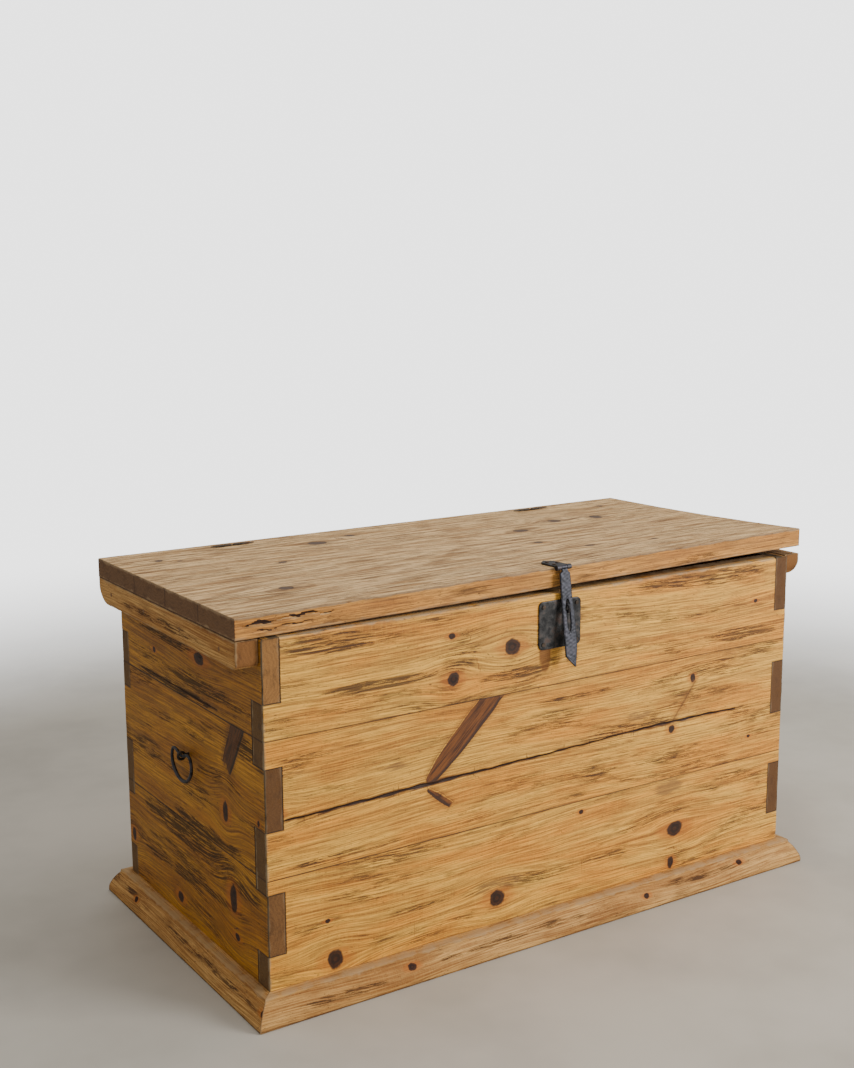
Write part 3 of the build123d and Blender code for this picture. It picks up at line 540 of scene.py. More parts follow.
def pine_finish(name, tones, dirt, grey, end_axis=0, grime=1.0, rough_add=0.0, specular=0.34, bump=0.35,
                fade=None, taper=0.6):
    """Waxed old pine from the piece's own marks. `end_axis` is the axis its grain runs along, `grey` bleaches
    the worn arrises, the seam factor darkens the seams, which paints dark joints and also painted shade in the
    gap under the lid along the walls' top edges and at the moulding's foot by the floor, and `fade` is the
    pale, middle and dark colour of faces that look up."""
    made, g, shader = material(name)
    grain = g.attribute("grain", True)
    shade, _, seed = g.split(g.attribute("board", True))
    streaks, patch, stain = g.split(g.attribute("tone", True))
    wood = use(g, PINE, Grain=grain, Seed=seed, Streaks=streaks, Dirt=dirt, Light=tones["light"],
               Middle=tones["middle"], Red=tones["red"], Dark=tones["dark"], Deep=tones["deep"])
    colour = wood["Color"]
    ragged = g.noise(grain, 3, 0.6, scale=0.045)
    fine = g.fibres(grain, 0.03, 0.5, 3, 0.65)
    normal = g.split(g.node("ShaderNodeTexCoord").outputs["Normal"])
    if fade is not None:
        up = normal[2]
        bleach = g.mul(g.step(up, 0.35, 0.95), g.step(g.add(ragged, g.mul(fine, 0.5)), 0.30, 0.85, 0.62, 0.96))
        long_streak = g.fibres(grain, 0.0055, 0.10, 4, 0.75)
        thin_streak = g.fibres(grain, 0.012, 0.22, 4, 0.75)
        faded = g.mix(g.step(long_streak, 0.44, 0.60), fade[0], fade[1])
        faded = g.mix(g.mul(g.step(thin_streak, 0.51, 0.565), 0.85), faded, fade[2])
        faded = g.mix(g.step(ragged, 0.50, 0.72, 0.0, 0.45), faded, fade[1])
        colour = g.mix(g.mul(bleach, 0.88), colour, faded)
    patch_cover = g.step(g.add(patch, g.mul(g.sub(fine, 0.5), 2.6)), 0.35, 0.85)
    colour = g.mix(g.mul(patch_cover, 0.62), colour, tones["patch"])
    stain_cover = g.step(g.add(stain, g.mul(g.sub(ragged, 0.5), 0.8)), 0.25, 0.9)
    colour = g.mix(g.mul(stain_cover, 0.85), colour, tones["stain"])
    knot = use(g, KNOT, Knot=g.attribute("knot_at", True), Wood=colour, Halo=tones["halo"], Core=tones["knot"],
               Rim=tones["deep"])
    spike = use(g, SPIKE, Spike=g.attribute("spike_at", True), Taper=taper, Wood=knot["Color"],
                Halo=tones["spike"], Core=tones["spike_dark"], Rim=tones["deep"])
    colour = spike["Color"]
    endwise = g.step(g.math("ABSOLUTE", normal[end_axis]), 0.55, 0.80)
    cut = use(g, END_GRAIN, Grain=grain, Seed=seed, Light=tones["end"], Dark=tones["end_dark"],
              Deep=tones["deep"])
    colour = g.mix(endwise, colour, g.mix(shade, cut["Color"], tones["end_dark"]))
    crack = g.attribute("crack")
    torn = g.add(crack, g.mul(g.sub(fine, 0.5), 9.0))
    colour = g.mix(g.step(torn, 0.0, 3.2, 0.80, 0.0), colour, tones["spike_dark"])
    across_check = g.step(g.fibres(grain, 0.34, 0.03, 2, 0.5), 0.66, 0.70)
    colour = g.mix(g.mul(across_check, g.step(crack, 4.0, 10.0, 0.75, 0.0)), colour, tones["spike_dark"])
    # Painted shade: the inside of the check, and the deepest part of the torn gouges, is painted a near-black
    # brown for the shade in the split.
    colour = g.mix(g.step(crack, -0.25, 0.45, 0.96, 0.0), colour, CRACK_SHADE_BROWN)
    edge, rim = g.attribute("edge"), g.attribute("rim")
    # Painted shade: this darkens towards the deep tone near seams, which gives dark joints and also the shadow in
    # the gap under the lid on the walls' top edges and at the moulding's foot.
    seam = g.step(g.add(edge, g.mul(g.sub(fine, 0.5), 2.4)), 0.3, 1.9, min(1.0, 0.80 * grime), 0.0)
    colour = g.mix(seam, colour, tones["deep"])
    wear = g.mul(g.step(g.add(rim, g.mul(g.sub(ragged, 0.5), 12.0)), -0.5, 4.0, 1.0, 0.0), grey)
    colour = g.mix(wear, colour, tones["worn"])
    height = g.mix(endwise, wood["Height"], cut["Height"])
    rough = g.add(g.add(wood["Roughness"], rough_add), g.mul(endwise, 0.15))
    g.feed(shader.inputs["Base Color"], colour)
    g.feed(shader.inputs["Roughness"], rough)
    g.feed(shader.inputs["Normal"], g.relief(height, bump))
    shader.inputs["Specular IOR Level"].default_value = specular
    return made


FRONT_TONES = {
    "light": rgb(255, 196, 84), "middle": rgb(244, 164, 56), "red": rgb(208, 132, 44), "dark": rgb(122, 70, 27),
    "deep": rgb(56, 36, 29), "patch": rgb(112, 82, 54), "stain": rgb(108, 62, 16), "halo": rgb(176, 98, 32),
    "knot": rgb(24, 10, 12), "spike": rgb(122, 72, 30), "spike_dark": rgb(66, 36, 20), "end": rgb(112, 82, 46),
    "end_dark": rgb(62, 44, 26), "worn": rgb(164, 146, 118),
}
# Painted shade: the left end's tones are a darker, more saturated copy of the front's wood, standing in for the
# shade on that end; the right end's tones are a lighter copy of the same wood.
SHADED_END_TONES = dict(FRONT_TONES, light=rgb(206, 144, 34), middle=rgb(178, 114, 18), red=rgb(154, 90, 16),
                 dark=rgb(96, 58, 10), end=rgb(158, 112, 60), end_dark=rgb(74, 46, 24), deep=rgb(44, 30, 14),
                 spike=rgb(98, 58, 22), spike_dark=rgb(58, 34, 14))
RIGHT_TONES = dict(SHADED_END_TONES, light=rgb(238, 176, 72), middle=rgb(218, 146, 48), red=rgb(188, 116, 38),
                   dark=rgb(114, 68, 24))
LID_TONES = dict(FRONT_TONES, light=rgb(232, 168, 84), middle=rgb(208, 138, 58), red=rgb(176, 104, 42),
                 dark=rgb(116, 76, 42), end=rgb(120, 88, 60), end_dark=rgb(70, 50, 36), patch=rgb(96, 84, 76),
                 worn=rgb(176, 148, 112), knot=rgb(84, 68, 60), halo=rgb(122, 92, 62))
MOULD_TONES = dict(FRONT_TONES, light=rgb(218, 172, 104), middle=rgb(190, 140, 76), red=rgb(164, 110, 56),
                   worn=rgb(172, 142, 104), end=rgb(136, 94, 54), end_dark=rgb(98, 64, 38))

ALONG_Y = 1
FRONT_PINE = pine_finish("body_pine_long", FRONT_TONES, dirt=0.9, grey=0.6, taper=0.36)
ENDS = dict(dirt=0.85, grey=0.2, end_axis=ALONG_Y, grime=1.3, taper=0.16)
# Painted shade: the left end boards' material, made from the shaded copy of the end tones.
SHADED_END_PINE = pine_finish("body_pine_end", SHADED_END_TONES, **ENDS)
RIGHT_PINE = pine_finish("body_pine_right", RIGHT_TONES, **ENDS)
LID_PINE = pine_finish("lid_pine", LID_TONES, dirt=0.8, grey=0.5, rough_add=0.1, bump=0.5,
                       fade=(rgb(236, 202, 150), rgb(160, 124, 80), rgb(88, 62, 42)))
WORN_TRIM = dict(dirt=0.45, grey=0.75, rough_add=0.12, specular=0.2)
MOULD_LONG = pine_finish("moulding_pine_long", MOULD_TONES, **WORN_TRIM)
MOULD_END = pine_finish("moulding_pine_end", MOULD_TONES, end_axis=ALONG_Y, **WORN_TRIM)


def plain_pine(name, light, dark, axis):
    """Bare pine for parts inside the chest, from object coordinates, its grain along one axis."""
    made, g, shader = material(name)
    x, y, z = g.split(g.scaled(g.node("ShaderNodeTexCoord").outputs["Object"], *[1 / MM] * 3))
    grain = g.join(*((x, y, z), (y, x, z), (z, x, y))[axis])
    wood = use(g, PINE, Grain=grain, Seed=0.37, Streaks=0.0, Dirt=0.35, Lines=0.9, Light=light, Middle=light,
               Red=dark, Dark=dark, Deep=BARE_DEEP)
    g.feed(shader.inputs["Base Color"], wood["Color"])
    g.feed(shader.inputs["Roughness"], g.add(wood["Roughness"], 0.15))
    g.feed(shader.inputs["Normal"], g.relief(wood["Height"], 0.4))
    return made


def iron_finish(name, black, worn, rust, rough, relief=0.5, metal=0.75):
    """Forged iron from object coordinates: `rust` is its share of brown, `relief` how deep its facets are."""
    made, g, shader = material(name)
    place = g.node("ShaderNodeTexCoord").outputs["Object"]
    iron = use(g, IRON, Place=place, Rust=rust, Rough=rough, Black=black, Worn=worn, Brown=RUST_BROWN)
    g.feed(shader.inputs["Base Color"], iron["Color"])
    g.feed(shader.inputs["Roughness"], iron["Roughness"])
    g.feed(shader.inputs["Metallic"], metal)
    g.feed(shader.inputs["Normal"], g.relief(iron["Height"], relief))
    return made


INSIDE_X = plain_pine("inside_pine_long", rgb(206, 168, 118), rgb(160, 118, 74), 0)
INSIDE_Y = plain_pine("inside_pine_cross", rgb(198, 160, 112), rgb(150, 110, 70), 1)
DOWEL = plain_pine("dowel_wood", rgb(214, 180, 134), rgb(176, 138, 92), 2)
BLACK_IRON = iron_finish("forged_iron", rgb(38, 38, 42), rgb(78, 80, 88), 0.35, 0.42)
PIN_IRON = iron_finish("cotter_iron", rgb(44, 38, 34), rgb(92, 84, 76), 0.8, 0.5)
STRAP_IRON = iron_finish("strap_iron", rgb(36, 38, 46), rgb(56, 58, 69), 0.10, 0.36, 0.22, 0.6)
PLATE_IRON = iron_finish("plate_iron", rgb(26, 27, 30), rgb(78, 78, 79), 0.4, 0.44, 0.6, 0.6)
NAIL_IRON = iron_finish("nail_iron", rgb(52, 44, 38), rgb(96, 84, 74), 0.7, 0.5)
WAXED_NAIL = iron_finish("waxed_nail", rgb(104, 72, 38), rgb(128, 92, 52), 0.5, 0.6, 0.4, 0.0)


# ---- marks in the wood ----------------------------------------------------------------------


def bend_round(u, v, knots):
    """Grain coordinate across the board, pressed towards each knot's middle so that the lines part round it."""
    across = np.array(v, float)
    for u0, v0, ru, rv in knots:
        reach_u, reach_v = 3.6 * ru + 10.0, 2.4 * rv + 6.0
        near = np.exp(-((u - u0) / reach_u) ** 2 - ((v - v0) / reach_v) ** 2)
        across -= (v - v0) * 0.72 * near
    return across


def nearest_knot(u, v, knots):
    """Round coordinates of the nearest knot, with its own number as the third."""
    best = np.full(np.shape(u), 1e9)
    at = np.tile(NO_KNOT, (len(u), 1))
    for k, (u0, v0, ru, rv) in enumerate(knots):
        a, b = (u - u0) / ru, (v - v0) / rv
        near = np.hypot(a, b)
        closer = near < best
        best = np.where(closer, near, best)
        at[closer] = np.stack([a, b, np.full_like(a, k * 1.37 + 0.3)], -1)[closer]
    return at


def nearest_spike(u, v, spikes):
    """Distance along the nearest spike knot (0 at the apex, 1 at the far end), distance across, and half-width."""
    at = np.tile(NO_SPIKE, (len(u), 1))
    best = np.full(np.shape(u), 1e9)
    for (ua, va), (ub, vb), half in spikes:
        length = math.hypot(ub - ua, vb - va)
        du, dv = (ub - ua) / length, (vb - va) / length
        t = ((u - ua) * du + (v - va) * dv) / length
        w = (v - va) * du - (u - ua) * dv
        near = np.abs(w) + np.maximum(0, np.maximum(-t, t - 1)) * length
        closer = near < best
        best = np.where(closer, near, best)
        at[closer] = np.stack([t, w, np.full_like(t, half)], -1)[closer]
    return at


def patches(u, v, spots):
    """Soft cover, 0 to 1, from (u, v, half-length, half-height, strength) spots."""
    total = np.zeros(np.shape(u))
    for u0, v0, ru, rv, strength in spots:
        far = np.sqrt(((u - u0) / ru) ** 2 + ((v - v0) / rv) ** 2)
        total = np.maximum(total, strength * (1 - smooth(far, 0.55, 1.35)))
    return total


# Knots are (u, v, half-length, half-height). Streaks, patches and stains add a strength. Spike knots are apex,
# far end and half-width. u runs along the board, v up it, or from front to back on the lid.
FRONT_KNOTS = [
    (-88.6, 514, 15.5, 13.5), (-203.8, 478.8, 11, 11), (-206.6, 549, 6.5, 5), (-117.4, 87.8, 15, 14),
    (277, 121.6, 18, 13.5), (-425.5, 66, 13.5, 15.5), (268.6, 59, 7, 11), (-438, 132, 4.5, 3.6),
    (461, 518, 4.5, 3.6), (-523, 322, 9, 8), (311, 397, 6, 8), (263, 311, 7, 7), (455, 262, 4, 3),
    (60, 200, 5, 4),
]
FRONT_SPIKES = [
    ((-256.0, 316.0), (-112.0, 454.0), 25.0), ((-254.0, 307.0), (-206.0, 270.0), 9.0),
    ((264.0, 324.0), (322.0, 396.0), 3.0),
]
FRONT_STREAKS = [
    (-432, 570, 92, 16, 0.85), (-344, 493, 110, 9, 0.95), (-79, 468, 76, 10, 1.0),
    (315, 575, 180, 16, 0.7), (424, 462, 100, 12, 0.75), (-190, 520, 46, 30, 0.55),
    (50, 540, 90, 10, 0.4), (160, 330, 120, 10, 0.6), (150, 262, 220, 26, 0.42), (-60, 106, 120, 10, 0.6),
    (-300, 112, 90, 7, 0.45), (-470, 402, 60, 6, 0.5), (60, 408, 120, 6, 0.5), (330, 408, 120, 7, 0.5),
    (-360, 168, 110, 8, 0.5), (120, 40, 160, 6, 0.4), (-250, 30, 130, 7, 0.4), (400, 200, 90, 8, 0.4),
    (-400, 232, 110, 10, 0.5), (300, 510, 150, 7, 0.5),
]
FRONT_PATCHES = [
    (259, 203, 36, 14, 1.0), (187, 350, 30, 9, 0.8), (-310, 355, 34, 8, 0.7), (-110, 112, 58, 13, 0.7),
    (-480, 380, 40, 5, 0.4), (410, 430, 50, 6, 0.45),
]
RUST_STAINS = [
    (-22, 492, 13, 34, 1.0), (10, 520, 34, 18, 0.75), (36, 486, 16, 34, 0.5), (228, 323, 46, 5, 0.8),
    (-222, 316, 34, 5, 0.8), (-330, 312, 60, 4, 0.6),
]
LEFT_KNOTS = [
    (-135.5, 287, 9, 17), (-156, 150, 12, 23), (-166, 90, 8, 6), (52, 75, 11, 9), (-54, 514, 18, 10),
    (127, 489, 6, 5), (252, 120, 8, 12), (-250, 305, 4, 5),
]
LEFT_SPIKES = [
    ((-207.0, 476.0), (-140.0, 358.0), 24.0),
]
LEFT_STREAKS = [
    (40, 444, 150, 8, 1.0), (60, 520, 150, 8, 0.9), (-60, 470, 150, 14, 0.8), (-90, 330, 120, 8, 0.6),
    (20, 200, 180, 26, 0.85), (-60, 230, 150, 10, 0.9), (90, 120, 140, 10, 0.7), (-210, 410, 34, 20, 0.9),
    (-200, 176, 60, 14, 0.8), (40, 380, 140, 10, 0.5), (120, 300, 80, 10, 0.5), (-60, 130, 160, 8, 0.7),
]
RIGHT_KNOTS = [
    (120, 480, 14, 12), (-88, 350, 10, 14), (46, 150, 15, 12), (190, 268, 7, 7), (-170, 88, 8, 7),
]
RIGHT_SPIKES = [
    ((60.0, 236.0), (118.0, 330.0), 11.0),
]
RIGHT_STREAKS = [
    (-40, 540, 120, 9, 0.8), (60, 400, 140, 9, 0.7), (-60, 260, 150, 12, 0.7), (30, 90, 170, 10, 0.7),
]
BACK_KNOTS = [
    (-310, 498, 14, 12), (120, 540, 8, 7), (380, 470, 12, 12), (-120, 330, 16, 13), (290, 262, 10, 9),
    (-420, 120, 12, 12), (40, 92, 15, 12), (440, 150, 7, 6),
]
BACK_SPIKES = [
    ((-330.0, 260.0), (-240.0, 372.0), 12.0),
]
BACK_STREAKS = [
    (-200, 560, 200, 12, 0.7), (260, 500, 180, 12, 0.6), (0, 400, 260, 12, 0.5),
    (-300, 200, 200, 16, 0.6), (300, 110, 200, 14, 0.6),
]
LID_KNOTS = [
    (-198, 176.5, 18, 14), (-421, -127, 12, 11), (295, 110, 13, 13), (392, 99.5, 12, 15),
    (176, 60, 15, 11), (-500, 190, 7, 7), (-470, 168, 5, 4), (128, -58, 8, 8), (180, -140, 9, 8),
    (312, -162, 6, 5), (486, 200, 7, 7), (-112, 206, 10, 8), (-330, 58, 8, 6),
]
LID_STREAKS = [
    (-400, 240, 160, 8, 0.5), (-450, 30, 120, 10, 0.6), (-380, -10, 120, 8, 0.5), (-60, -60, 180, 8, 0.5),
    (220, 20, 200, 10, 0.5), (-180, -190, 160, 9, 0.6), (-460, -160, 120, 9, 0.7),
    (300, -230, 180, 8, 0.4), (440, 40, 120, 10, 0.4), (60, 160, 200, 9, 0.5), (-300, 150, 90, 5, 0.4),
]


def groove(half_width, depth, away_from):
    """Depth of a V-shaped check at a distance from its line."""
    return depth * np.clip(1 - np.abs(away_from) / half_width, 0, 1) ** 0.8


def crack_line(x):
    """Height of the long pith check in the front: straight pieces plus two fine sine waves."""
    z = np.interp(x, [-540, -508, -255.6, 20, 180, 300, 413, 540],
                  [309.6, 309.6, 314.6, 319.5, 324, 324.5, 322.5, 322])
    return z + 0.5 * np.sin(x / 17.0) + 0.35 * np.sin(x / 6.1 + 1.0)


def crack_half(x):
    """Half-width of that check: widest at the left of the spike knot, closing at both ends."""
    gape = np.interp(x, [-512, -505, -400, -256, -150, 0, 150, 180, 290, 413, 420],
                     [0, 0.7, 1.5, 2.1, 1.2, 0.9, 0.5, 1.0, 1.5, 0.5, 0])
    return 1.35 * gape * (0.85 + 0.25 * np.sin(x / 9.0))


# ---- boards ---------------------------------------------------------------------------------


EASED_SEAM = 0.38  # arris radius at a glued seam
TOP_EDGE = Z_TOP - 0.6  # heights above this are on the walls' top edge
ROWS_BESIDE_CHECK = np.array([-3, -2, -1.3, -0.8, -0.4, 0, 0.4, 0.8, 1.3, 2, 3])


def upright(run, *places):
    """Whether an outline run is vertical, and within a millimetre of one of the places if any are given."""
    return abs(run[0] - run[2]) < 1e-6 and (not places or min(abs(run[0] - p) for p in places) < 1.0)


def level(run):
    """Whether an outline run is horizontal."""
    return abs(run[1] - run[3]) < 1e-6


def beside_check(check):
    """Map that carries grid rows near a check's level onto its line, fading out 5.5 to 20.5 mm away from it."""
    def follow(u, v):
        fade = 1 - smooth(np.abs(v - check["level"]), 5.5, 20.5)
        return u, v + (check["line"](u) - check["level"]) * fade
    return follow


def board_face(U, V, runs, radii, seed, wave, check, follow):
    """Depth of a board's face: each arris a quarter circle r - sqrt(r^2 - gap^2) of its own worn radius,
    shallow planed waves away from the arrises, and a V-shaped check along its line."""
    seen = away(runs, U, follow(U, V)[1] if check else V)
    r = np.array(radii).reshape(-1, 1, 1) * (1 + 0.35 * ripple(U, V, seed + 5, 60, 60))
    gap = np.maximum(r - seen, 0)
    ease = np.max(r - np.sqrt(np.maximum(r * r - gap * gap, 0)), axis=0)
    planed = 0.5 + 0.5 * np.clip(ripple(U, V, seed, 260, 46), -1, 1)
    front = ease + wave * planed * smooth(seen.min(axis=0), 0, 6)
    if check:
        half = check["half"](U)
        front += groove(np.maximum(half, 0.01) + 0.25, check["depth"], V - check["level"]) * (half > 0.05)
    return front


def board(name, rects, thick, place, finish, slot, body, seed, step, round_of, worn, knots=(), spikes=(),
          streaks=(), spots=(), stains=(), check=None, flip=False, wave=0.22,
          levels=(0.04, 0.12, 0.5, 0.88, 0.96), dent=None, warp=None, extra_u=(), shade=0.0):
    """One board: its outline as a union of rectangles on a fine grid, its face from board_face, its edges from
    slab, and the marks that the finish reads. `round_of(run)` is the arris radius of an outline run,
    `worn(run)` whether it is bleached, and `check` a crack's level, line, half-width and depth."""
    runs = outline(rects)
    u = lines([r[k] for r in rects for k in (0, 1)], step, extra_u)
    v = lines([r[k] for r in rects for k in (2, 3)], step, check["level"] + ROWS_BESIDE_CHECK if check else ())
    U, V = np.meshgrid(u, v, indexing="ij")
    follow = beside_check(check) if check else None
    front = board_face(U, V, runs, [round_of(run) for run in runs], seed, wave, check, follow)
    points, faces, pu, pv, pd, wall = slab(u, v, filled(rects, u, v), front, thick, place, levels,
                                           warp or follow, flip, dent)
    on_edge = wall > 0.9
    from_face = np.minimum(pd, thick - pd)
    near = np.sort(away(runs, pu, pv), axis=0)
    edge = np.where(on_edge, np.minimum(near[1], from_face), near[0])
    # Painted shade: on the walls' top edges, points more than about 9 mm in from the outer face get a small edge
    # distance, so the finish paints the gap under the lid dark.
    edge = np.where(on_edge & (pv > TOP_EDGE) & (pd > 0.3), np.clip((14.0 - pd) * 0.35, 0, 4), edge)
    rim = away(np.array([run for run in runs if worn(run)]), pu, pv).min(axis=0)
    ledge = np.where(pv > TOP_EDGE, 0.10, 0.8)
    rim = np.where(on_edge, np.maximum(rim, ledge * from_face), np.where(pd < thick * 0.5, rim, FAR))
    crack = np.full(len(pu), FAR)
    if check:
        half = check["half"](pu)
        in_check = (pd < 0.5 * thick) & (wall < 0.1) & (half > 0.05)
        crack = np.where(in_check, np.abs(pv - check["line"](pu)) - half, FAR)
    if dent is not None:
        torn = dent(pu, pv, pd / thick) * on_edge
        # Painted shade: the deepest torn places take crack values, so the finish paints them with the check's dark
        # core.
        crack = np.where(torn > 0.6, 1.3 - torn, crack)
    across = bend_round(pu, pv, [k for k in knots if k[2] > 7.5]) + 7.0 * ripple(pu, pv, seed + 9, 900, 320, 4)
    outside = pd < 0.7 * thick
    make_piece(name, points, faces, finish, body, slot, [name], {
        "grain": np.stack([pu, across, pd], -1),
        "board": np.tile([shade, 0.0, (seed * 0.137) % 1.0], (len(pu), 1)),
        "knot_at": nearest_knot(pu, pv, knots),
        "spike_at": nearest_spike(pu, pv, spikes),
        "tone": np.stack([patches(pu, pv, streaks), patches(pu, pv, spots) * outside,
                          patches(pu, pv, stains) * outside], -1),
        "edge": np.clip(edge, 0, FAR), "rim": np.clip(rim, 0, FAR), "crack": np.clip(crack, -5, FAR),
    })


# ---- walls ----------------------------------------------------------------------------------

FINGERS = 6
FINGER = Z_TOP / FINGERS
TIERS = {"upper": (437.0, Z_TOP), "middle": (220.0, 437.0), "lower": (0.0, 220.0)}


def wall_rects(low, high, inner, outer, first, recess):
    """Panel between the inner ends plus this board's share of the fingers, each a little short of the corner;
    first is the lowest finger's number."""
    rects = [(inner[0], inner[1], low, high)]
    for k in range(first, FINGERS, 2):
        a, b = max(low, k * FINGER), min(high, (k + 1) * FINGER)
        if b - a > 0.5:
            rects += [(outer[0] + recess[0], inner[0], a, b), (inner[1], outer[1] - recess[1], a, b)]
    return rects


def wall_round(outer):
    """Arris radius of a wall board's outline run: full on the chest's corners and top edge, slight at seams."""
    def radius(run):
        if upright(run, *outer):
            return 2.1
        return 4.5 if level(run) and abs(run[1] - Z_TOP) < 0.01 else EASED_SEAM
    return radius


def wall_worn(outer):
    """The chest's corners and top edge are worn pale."""
    def worn(run):
        return upright(run, *outer) or (level(run) and run[1] > TOP_EDGE)
    return worn


def end_half(y):
    """Half-width of the short check just above the left end's upper seam: straight pieces times a sine wave."""
    gape = np.interp(y, [-122, -110, -20, 60, 150, 190], [0, 0.5, 0.9, 0.6, 0.8, 0])
    return gape * (1 + 0.3 * np.sin(y / 8.0))


END_CHECK = {"level": 446.0, "line": lambda y: 446.0 + 0.0 * y, "half": end_half, "depth": 1.8}
PITH_CHECK = {"level": 317.0, "line": crack_line, "half": crack_half, "depth": 2.6}
LONG = {"inner": (-510.0, 510.0), "outer": (-X_END, X_END), "first": 0}
SHORT = {"inner": (-236.5, 242.5), "outer": (Y_FRONT, Y_BACK), "first": 1}
WALLS = {
    "front": (LONG, dict(thick=36.0, place=lambda u, v, d: np.stack([u, Y_FRONT + d, v], -1), seed=11, step=3.2,
                         finish=FRONT_PINE, knots=FRONT_KNOTS, streaks=FRONT_STREAKS, spots=FRONT_PATCHES,
                         stains=RUST_STAINS)),
    "back": (LONG, dict(thick=30.0, place=lambda u, v, d: np.stack([u, Y_BACK - d, v], -1), seed=21, step=6.0,
                        finish=FRONT_PINE, knots=BACK_KNOTS, spikes=BACK_SPIKES, streaks=BACK_STREAKS,
                        flip=True)),
    "left": (SHORT, dict(thick=30.0, place=lambda u, v, d: np.stack([-X_END + d, u, v], -1), seed=31, step=4.0,
                         finish=SHADED_END_PINE, knots=LEFT_KNOTS, streaks=LEFT_STREAKS, flip=True)),
    "right": (SHORT, dict(thick=30.0, place=lambda u, v, d: np.stack([X_END - d, u, v], -1), seed=51, step=4.0,
                          finish=RIGHT_PINE, knots=RIGHT_KNOTS, spikes=RIGHT_SPIKES, streaks=RIGHT_STREAKS,
                          shade=0.8)),
}
OWN_MARKS = {
    "front_board_middle": {"spikes": FRONT_SPIKES, "check": PITH_CHECK},
    "left_board_upper": {"check": END_CHECK},
    "left_board_middle": {"spikes": LEFT_SPIKES, "shade": 0.75},
    "left_board_lower": {"shade": 0.55},
}
for k, (tier, (low, high)) in enumerate(TIERS.items()):
    slit = np.random.default_rng(40 + k).uniform(0.1, 0.5, 8).reshape(4, 2)
    for (wall, (span, looks)), recess in zip(WALLS.items(), slit):
        name = f"{wall}_board_{tier}"
        own = {**looks, **OWN_MARKS.get(name, {})}
        own["seed"] += k
        own["knots"] = [n for n in looks["knots"] if low - 60 < n[1] < high + 60]
        board(name, wall_rects(low, high, recess=recess, **span), slot="body_pine", body="chest_body",
              round_of=wall_round(span["outer"]), worn=wall_worn(span["outer"]), **own)

# ---- lid ------------------------------------------------------------------------------------

LID_X, LID_FRONT, LID_BACK, LID_THICK = 577.0, -265.0, 272.0, 33.0
LID_SEAMS = (LID_FRONT, -140.0, -16.0, 110.0, LID_BACK)
SEAT_GAP, FRONT_GAP, WARP_RISE = 0.5, 1.5, 12.5


def lid_lift(x, y):
    """Height of the lid's underside at a plank's edge: half a millimetre off the body, rising along the front
    from left to right and, as a square, from back to front."""
    front = FRONT_GAP + WARP_RISE * (x + LID_X) / (2 * LID_X) - SEAT_GAP
    return Z_TOP + SEAT_GAP + front * ((LID_BACK - y) / (LID_BACK - LID_FRONT)) ** 2


def plank_top(x, y, low, high):
    """Height of a plank's top: straight across it, from the seam at low to the seam at high."""
    t = (y - low) / (high - low)
    return lid_lift(x, low) * (1 - t) + lid_lift(x, high) * t + LID_THICK


def place_plank(low, high):
    """A plank's u and v are the lid's x and y, and depth runs down from its top."""
    return lambda u, v, d: np.stack([u, v, plank_top(u, v, low, high) - d], -1)


def gouge(u, v, share):
    """Inward depth of the torn places along the lid's front arris at the left, and slight waves elsewhere."""
    at_front = (v < LID_FRONT + 0.01)
    reach = smooth(u, -574, -560) * (1 - smooth(u, -430, -405))
    middle = 0.30 + 0.06 * np.sin(u / 23.0) + 0.05 * np.sin(u / 7.0)
    tear = np.clip(1 - np.abs(share - middle) / (0.085 + 0.05 * np.sin(u / 11.0)), 0, 1) ** 0.7
    reach_below = smooth(u, -552, -540) * (1 - smooth(u, -470, -440))
    below = np.clip(1 - np.abs(share - middle - 0.36) / 0.08, 0, 1) * reach_below
    fade = smooth(share, 0.0, 0.05) * (1 - smooth(share, 0.95, 1.0))
    return at_front * fade * (reach * (3.6 * tear + 2.4 * below) + 0.25 * (1 + np.sin(u / 31.0 + share * 4)))


def lid_round(run):
    """Arris radius of a plank's outline run: full at the lid's front and ends, less behind, slight at seams."""
    if upright(run):
        return 2.0
    if abs(run[1] - LID_FRONT) < 0.1:
        return 2.4
    return 1.6 if abs(run[1] - LID_BACK) < 0.1 else 0.4


def lid_worn(run):
    """The lid's front and ends are worn pale."""
    return upright(run) or abs(run[1] - LID_FRONT) < 0.1


TORN = {"dent": gouge, "levels": np.linspace(0.04, 0.96, 16)}
SOUND = {"levels": (0.05, 0.2, 0.5, 0.8, 0.95)}
for k, (low, high) in enumerate(zip(LID_SEAMS[:-1], LID_SEAMS[1:])):
    board(f"lid_plank_{k + 1}", [(-LID_X, LID_X, low, high)], LID_THICK, place_plank(low, high), LID_PINE,
          "lid_pine", "lid", 61 + k, 4.0, lid_round, lid_worn,
          knots=[n for n in LID_KNOTS if low - 40 < n[1] < high + 40], streaks=LID_STREAKS, wave=0.5,
          **(TORN if k == 0 else SOUND))

# ---- cleats ---------------------------------------------------------------------------------

CLEAT_FOOT, CLEAT_THICK, CLEAT_ROUND, CLEAT_SMALL_ROUND = 549.0, 37.0, 34.0, 11.0


def cleat_warp(round_front, round_back):
    """Lifts the lower edge along a quarter circle at each end of the cleat."""
    def warp(u, v):
        a = np.clip(round_front - (u - LID_FRONT), 0, round_front)
        b = np.clip(round_back - (LID_BACK - u), 0, round_back)
        floor = np.maximum(round_front - np.sqrt(np.maximum(round_front**2 - a**2, 0)),
                           round_back - np.sqrt(np.maximum(round_back**2 - b**2, 0)))
        return u, Z_TOP - (Z_TOP - v) * (1 - floor / (Z_TOP - CLEAT_FOOT))
    return warp


def place_cleat(sign):
    """A cleat's u is the chest's y, and depth runs in from under the lid's own end."""
    return lambda u, v, d: np.stack([sign * (LID_X - d), u, v], -1)


